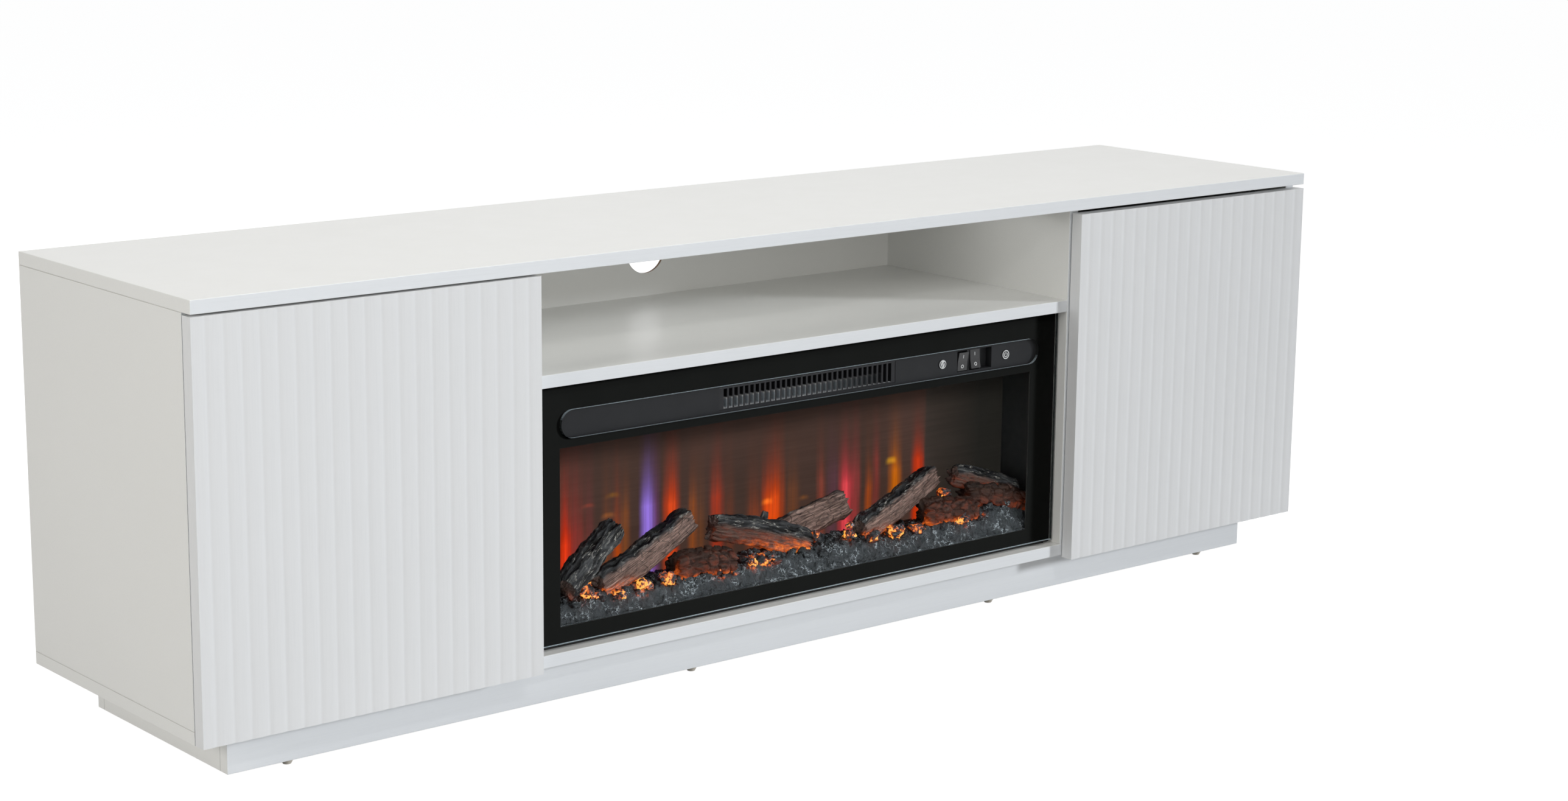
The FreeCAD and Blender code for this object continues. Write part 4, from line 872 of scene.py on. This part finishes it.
def within(angle, limits):
    """1 inside a range of angles, falling to 0 past its ends."""
    low, high = limits
    if low == high:
        return 0.0
    if high - low >= 360:
        return 1.0
    return min(smoothstep(low - BARK_BLEND, low + BARK_BLEND, angle),
               smoothstep(high + BARK_BLEND, high - BARK_BLEND, angle))


def waved(around, waves, seed, sway=0.0):
    """A place on a log as its noises read it."""
    along, across = waves
    return Vector((around.x * along, around.y * across + sway, around.z * across + seed))


def log_radius(kind, radius, along, angle, seed):
    """Radius at a place on a log, with its bark, its ridge, its crack's depth and its unwrapped place."""
    swell = noise.noise(Vector((along * SWELL_WAVES, seed, SWELL_LAYER)))
    reach = radius * (1 + SWELL_SHARE * swell)
    for facet, share in FACETS[kind]:
        square = math.cos(math.radians(angle - facet))
        if square > FACET_LEAST:
            reach = min(reach, share * radius / square)
    edge = BARK_EDGE_SWAY * noise.noise(Vector((along * BARK_EDGE_WAVES, seed, BARK_EDGE_LAYER)))
    bark = within(angle + edge, BARK[kind])
    turn = math.radians(angle)
    around = Vector((along, radius * math.cos(turn), radius * math.sin(turn)))
    sway = SWAY * noise.noise(around * SWAY_WAVES + Vector((seed, 0, 0)))
    long_way = waved(around, RIDGE_WAVES, seed, sway)
    ridge = 1 - RIDGE_SHARPNESS * abs(noise.noise(long_way))
    ridge -= FINE_RIDGE_SHARPNESS * abs(noise.noise(long_way * FINE_RIDGE_WAVES_SHARE))
    grain = noise.noise(waved(around, GRAIN_WAVES, seed))
    splint = math.floor(SPLINT_STEPS * noise.noise(waved(around, SPLINT_WAVES, seed))) / SPLINT_STEPS
    lump = noise.noise(around * LUMP_WAVES + Vector((seed, seed, 0)))
    lump += DENT_SHARE * noise.noise(around * DENT_WAVES)
    crack = 0.0
    if CHAR[kind] == 1.0:
        near = noise.voronoi(waved(around, CRACK_WAVES, seed))[0]
        crack = 1 - smoothstep(*CRACK_RANGE, near[1] - near[0])
    barked = bark * RIDGE_SHARE * (ridge - RIDGE_MEAN)
    split = (1 - bark) * (GRAIN_SHARE * grain + SPLINT_SHARE * splint)
    reach *= 1 + barked + split + LUMP_SHARE * lump - CRACK_SHARE * crack
    return reach, bark, ridge, crack, around


def log_heat(kind, share, angle, bark, crack, height):
    """How much a place on a log glows: most at its foot and in front, and less in cracks."""
    whole, foot, cut, hidden, front = GLOW[kind]
    low = smoothstep(*GLOW_HEIGHTS, height)
    heat = (whole + foot * low - cut * crack) * smoothstep(*front, angle) * (1 - hidden * bark)
    if kind == "split":
        heat *= 1 - smoothstep(*SPLIT_GLOW_END, share)
    return heat


def log_points(kind, start, end, radii, bend, seed):
    """Points of one log ring by ring, with a row of its finish's values for each."""
    start, end = Vector(start) * MM, Vector(end) * MM
    length = (end - start).length
    axis = (end - start).normalized()
    top = (Vector((0, 0, 1)) - axis * axis.z).normalized()
    front = axis.cross(top)
    front = front if front.y < 0 else -front
    rings = [(0.0, cap) for cap in reversed(CAP_SHARES)]
    rings += [(step / (LOG_RINGS - 1), 1.0) for step in range(LOG_RINGS)]
    rings += [(1.0, cap) for cap in CAP_SHARES]
    points, rows = [], []
    for share, cap in rings:
        radius = (radii[0] + (radii[1] - radii[0]) * share) * MM
        middle = start + axis * share * length + top * bend * MM * math.sin(math.pi * share)
        way = 2 * share - 1
        tip = smoothstep(*TIP_RANGE, abs(way))
        hollow = (1 - cap * cap) * CAP_HOLLOW * radius
        for side in range(LOG_SIDES):
            angle = -180 + 360 * side / LOG_SIDES
            turn = math.radians(angle)
            reach, bark, ridge, crack, around = log_radius(kind, radius, share * length, angle, seed)
            out = top * math.cos(turn) + front * math.sin(turn)
            torn = 0.0
            for waves, depth, layer in TORN_EDGE:
                torn_at = out * waves + Vector((seed, share * TORN_SHIFT, layer))
                torn += noise.noise(torn_at) * depth * radius
            place = middle + axis * math.copysign(tip * torn * cap + hollow, way)
            place += out * reach * cap * (1 - TIP_TAPER * tip * tip)
            points.append((place.x, max(place.y, fire_front), place.z))
            height = place.z - bed_base(place.x, place.y)
            glow = log_heat(kind, share, angle, bark, crack, height)
            grain = (around.x, around.y * cap, around.z * cap + seed * GRAIN_SEED_SHARE)
            shown = bark * (CAP_BARK if cap < 1 else 1.0)
            rows.append((shown, ridge, CHAR[kind] * (1 - bark), glow, grain))
    return points, rows


def log_pieces():
    points, faces, rows = [], [], []
    for index, log in enumerate(LOGS):
        first = len(points)
        made, made_rows = log_points(*log, LOG_SEED * (index + 1))
        points += made
        rows += made_rows
        rings = len(made) // LOG_SIDES
        for step in range(rings - 1):
            near, far = first + step * LOG_SIDES, first + (step + 1) * LOG_SIDES
            for side in range(LOG_SIDES):
                after = (side + 1) % LOG_SIDES
                faces.append((near + side, near + after, far + after, far + side))
        faces.append(tuple(first + side for side in reversed(range(LOG_SIDES))))
        faces.append(tuple(first + (rings - 1) * LOG_SIDES + side for side in range(LOG_SIDES)))
    values = dict(zip(("bark", "ridge", "char", "glow", "grain"), zip(*rows)))
    return make_mesh("fire_logs", points, faces, finishes["log_resin"], values=values)


add_piece("fire_logs", log_pieces(), ROOT, "log_resin", "log_set")


# Printed marks on the controls, drawn in millimetres and shares of a turn, clockwise from the top

PRINT_LIFT = 0.15
ARC_STEPS = 40
white_print = finish("white_print", print_ink, tone(222, 224, 224))
dark_print = finish("dark_print", print_ink, tone(46, 46, 48))


def arc(middle, radius, begin=0.0, end=1.0):
    turns = [TURN * (begin + (end - begin) * k / ARC_STEPS) for k in range(ARC_STEPS + 1)]
    return [(middle[0] + radius * math.sin(turn), middle[1] + radius * math.cos(turn)) for turn in turns]


def ring(middle, radius, width, begin=0.0, end=1.0):
    return arc(middle, radius + width / 2, begin, end), arc(middle, radius - width / 2, begin, end)


def bar(start, end, width):
    along = Vector(end) - Vector(start)
    aside = Vector((-along.y, along.x)).normalized() * width / 2
    return [[tuple(Vector(point) + way * aside) for point in (start, end)] for way in (1, -1)]


def band(outer, inner, place):
    """Raised strip between two lines, as points and faces."""
    points, faces = [], []
    for far, near in zip(outer, inner):
        points += [place(*far, 0.0), place(*far, PRINT_LIFT), place(*near, PRINT_LIFT), place(*near, 0.0)]
    count = len(outer)
    for k in range(count - 1):
        for side in range(4):
            after = (side + 1) % 4
            faces.append((4 * k + side, 4 * k + after, 4 * k + 4 + after, 4 * k + 4 + side))
    faces += [(3, 2, 1, 0), tuple(4 * (count - 1) + side for side in range(4))]
    return points, faces


def printed(name, ink, bands, place, body, slot):
    points, faces = [], []
    for outer, inner in bands:
        made, shown = band(outer, inner, place)
        faces += [tuple(len(points) + k for k in face) for face in shown]
        points += made
    add_piece(name, make_mesh(name, points, faces, ink, smooth=False), body, slot)


def button_face(node, under=0.0):
    """Places on a button's flat front, from its middle, over what is printed under them."""
    low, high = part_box(node)
    middle = (low + high) / 2
    return lambda x, z, lift: Vector((middle.x + x * MM, low.y - (under + lift) * MM, middle.z + z * MM))


MIDDLE = (0.0, 0.0)
# Rings: radius, width, and the start and end of an open one; bars: both ends and width
POWER_RING, POWER_ARC = (5.5, 1.2), (2.9, 1.0, 0.14, 0.86)
POWER_BAR = ((0.0, 0.3), (0.0, 4.0), 1.0)
FLAME_DISC, FLAME_DISC_HOLE = 5.8, 0.3
# Each side of the flame's outline between two arcs: middle, radius, start and end
FLAME_SIDES = (
    (((-0.6, 0.0), 4.3, 0.54, 0.96), ((1.4, 0.2), 4.6, 0.58, 0.90)),
    (((0.8, -0.2), 4.1, 0.06, 0.46), ((-1.2, -0.4), 4.3, 0.10, 0.42)),
)
FLAME_BAR = ((-1.0, -2.6), (0.9, 2.4), 0.9)
power_mark = [ring(MIDDLE, *POWER_RING), ring(MIDDLE, *POWER_ARC), bar(*POWER_BAR)]
flame_disc = [ring(MIDDLE, (FLAME_DISC + FLAME_DISC_HOLE) / 2, FLAME_DISC - FLAME_DISC_HOLE)]
flame_mark = [(arc(*outer), arc(*inner)) for outer, inner in FLAME_SIDES] + [bar(*FLAME_BAR)]
for name, ink, bands, button, under in (
        ("power_mark", white_print, power_mark, "power_button", 0.0),
        ("flame_disc", white_print, flame_disc, "flame_button", 0.0),
        ("flame_mark", dark_print, flame_mark, "flame_button", PRINT_LIFT)):
    printed(name, ink, bands, button_face(button, under), button, "button_plastic")

ROCKER_DIP, ROCKER_HALF = 1.0, 12.75
ROCKER_BAR, ROCKER_RING = ((0.0, 4.6), (0.0, 9.2), 0.9), ((0.0, -7.0), 2.0, 0.9)
rocker_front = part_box("control_fascia")[0].y


def rocker_face(joint):
    """Places on a rocker's dished front, tilted to the end of its travel at which it rests."""
    pivot = Vector(joint["pos_m"])
    tilt = math.radians(sum(joint["range_deg"]) / 2)
    turn = Matrix.Rotation(-tilt, 3, Vector(joint["axis"]))

    def place(x, z, lift):
        dish = ROCKER_DIP * (1 - abs(z) / ROCKER_HALF)
        depth = rocker_front - pivot.y + (dish - lift) * MM
        return pivot + turn @ Vector((x * MM, depth, z * MM))
    return place


joints = {joint["child"]: joint for joint in frame["joints"]}
for rocker in ("left_rocker", "right_rocker"):
    printed(rocker + "_marks", white_print, [bar(*ROCKER_BAR), ring(*ROCKER_RING)],
            rocker_face(joints[rocker]), rocker, "rocker_plastic")


# Floor, light and camera

FLOOR_HALF = 30.0
FLOOR_CORNERS = [(x * FLOOR_HALF, y * FLOOR_HALF, 0) for x, y in ((-1, -1), (1, -1), (1, 1), (-1, 1))]
FLOOR_GREY, FLOOR_ROUGHNESS, FLOOR_LIFT = (0.35, 0.35, 0.35, 1.0), 0.7, 0.925
PAPER_WHITE = (1.0, 1.0, 1.0, 1.0)
AMBIENT = 0.03


def seen(tree):
    """1 for rays that show the background: from the camera, in gloss and through glass."""
    path = tree.nodes.new("ShaderNodeLightPath")
    total = path.outputs["Is Camera Ray"]
    for name in ("Is Glossy Ray", "Is Transmission Ray"):
        join = tree.nodes.new("ShaderNodeMath")
        join.operation = "MAXIMUM"
        tree.links.new(total, join.inputs[0])
        tree.links.new(path.outputs[name], join.inputs[1])
        total = join.outputs[0]
    return total


world = bpy.data.worlds.new("studio")
scene.world = world
world.use_nodes = True
sky = world.node_tree.nodes["Background"]
sky.inputs["Color"].default_value = PAPER_WHITE
level = world.node_tree.nodes.new("ShaderNodeMapRange")
world.node_tree.links.new(seen(world.node_tree), level.inputs["Value"])
level.inputs["To Min"].default_value = AMBIENT
world.node_tree.links.new(level.outputs[0], sky.inputs["Strength"])


def studio_floor(look):
    """Grey floor that keeps the shadows, and shows as the pale background."""
    look.put(Base_Color=FLOOR_GREY, Roughness=FLOOR_ROUGHNESS, Specular_IOR_Level=0.0,
             Emission_Color=PAPER_WHITE, Emission_Strength=look.product(seen(look.tree), FLOOR_LIFT))


floor_look = finish("studio_floor", studio_floor)
floor_mesh = make_mesh("floor", FLOOR_CORNERS, [(0, 1, 2, 3)], floor_look, smooth=False)
floor = bpy.data.objects.new("floor", floor_mesh)
scene.collection.objects.link(floor)

KEY_POWER, KEY_COLOR = 1.98, (0.935, 0.965, 1.0)
KEY_TURN, KEY_RISE, KEY_SPREAD = math.radians(48), math.radians(14), math.radians(7)
NEUTRAL, WARM, FAINTLY_WARM = (1.0, 1.0, 1.0), (1.0, 0.985, 0.95), (1.0, 0.995, 0.98)
# Soft boxes: place, target, width and height, power in watts, colour, and whether gloss shows them
SOFT_BOXES = {
    "fill_box": ((-0.6, -3.4, 1.2), (0.0, 0.0, 0.45), (2.0, 1.8), 21.0, WARM, False),
    "bay_box": ((0.0, -0.05, 0.54), (0.0, -0.04, 0.42), (0.86, 0.24), 0.24, NEUTRAL, False),
    "left_box": ((-3.7, -0.6, 1.2), (-0.8, 0.0, 0.3), (1.6, 1.2), 52.0, WARM, False),
    "glint_box": ((-0.7, -2.6, 2.2), (0.0, -0.1, 0.2), (0.14, 0.14), 8.0, NEUTRAL, True),
    "back_box": ((1.2, 3.4, 1.3), (0.0, 0.2, 0.3), (2.0, 1.2), 40.0, NEUTRAL, False),
    "top_box": ((0.1, -0.4, 3.4), (0.0, 0.0, 0.5), (3.2, 1.6), 50.0, FAINTLY_WARM, True),
}

key = bpy.data.lights.new("key", "SUN")
key.energy = KEY_POWER
key.angle = KEY_SPREAD
key.color = KEY_COLOR
key_holder = bpy.data.objects.new("key", key)
key_from = Matrix.Rotation(KEY_TURN, 3, "Z") @ Vector((0.0, -math.cos(KEY_RISE), math.sin(KEY_RISE)))
key_holder.rotation_euler = key_from.to_track_quat("Z", "Y").to_euler()
key_holder.visible_glossy = False
scene.collection.objects.link(key_holder)
for name, (place, target, size, power, color, mirrored) in SOFT_BOXES.items():
    lamp = bpy.data.lights.new(name, "AREA")
    lamp.shape = "RECTANGLE"
    lamp.size, lamp.size_y = size
    lamp.energy = power
    lamp.color = color
    holder = bpy.data.objects.new(name, lamp)
    holder.location = place
    holder.rotation_euler = (Vector(target) - Vector(place)).to_track_quat("-Z", "Y").to_euler()
    holder.visible_glossy = mirrored
    scene.collection.objects.link(holder)

CAMERA_PLACE = (-2.3734, -2.9612, 1.1042)
YAW, PITCH, ROLL = 0.695, -0.208, 0.011
IMAGE_WIDTH, FOCAL_PIXELS, SENSOR = 2576, 4804.08, 36.0
view = bpy.data.cameras.new("camera")
view.sensor_fit = "HORIZONTAL"
view.sensor_width = SENSOR
view.lens = SENSOR * FOCAL_PIXELS / IMAGE_WIDTH
camera = bpy.data.objects.new("camera", view)
aim = Matrix.Translation(CAMERA_PLACE)
for turn, axis in ((-YAW, "Z"), (TURN / 4 + PITCH, "X"), (ROLL, "Z")):
    aim = aim @ Matrix.Rotation(turn, 4, axis)
camera.matrix_world = aim
scene.collection.objects.link(camera)
scene.camera = camera
scene.view_settings.view_transform = "Standard"
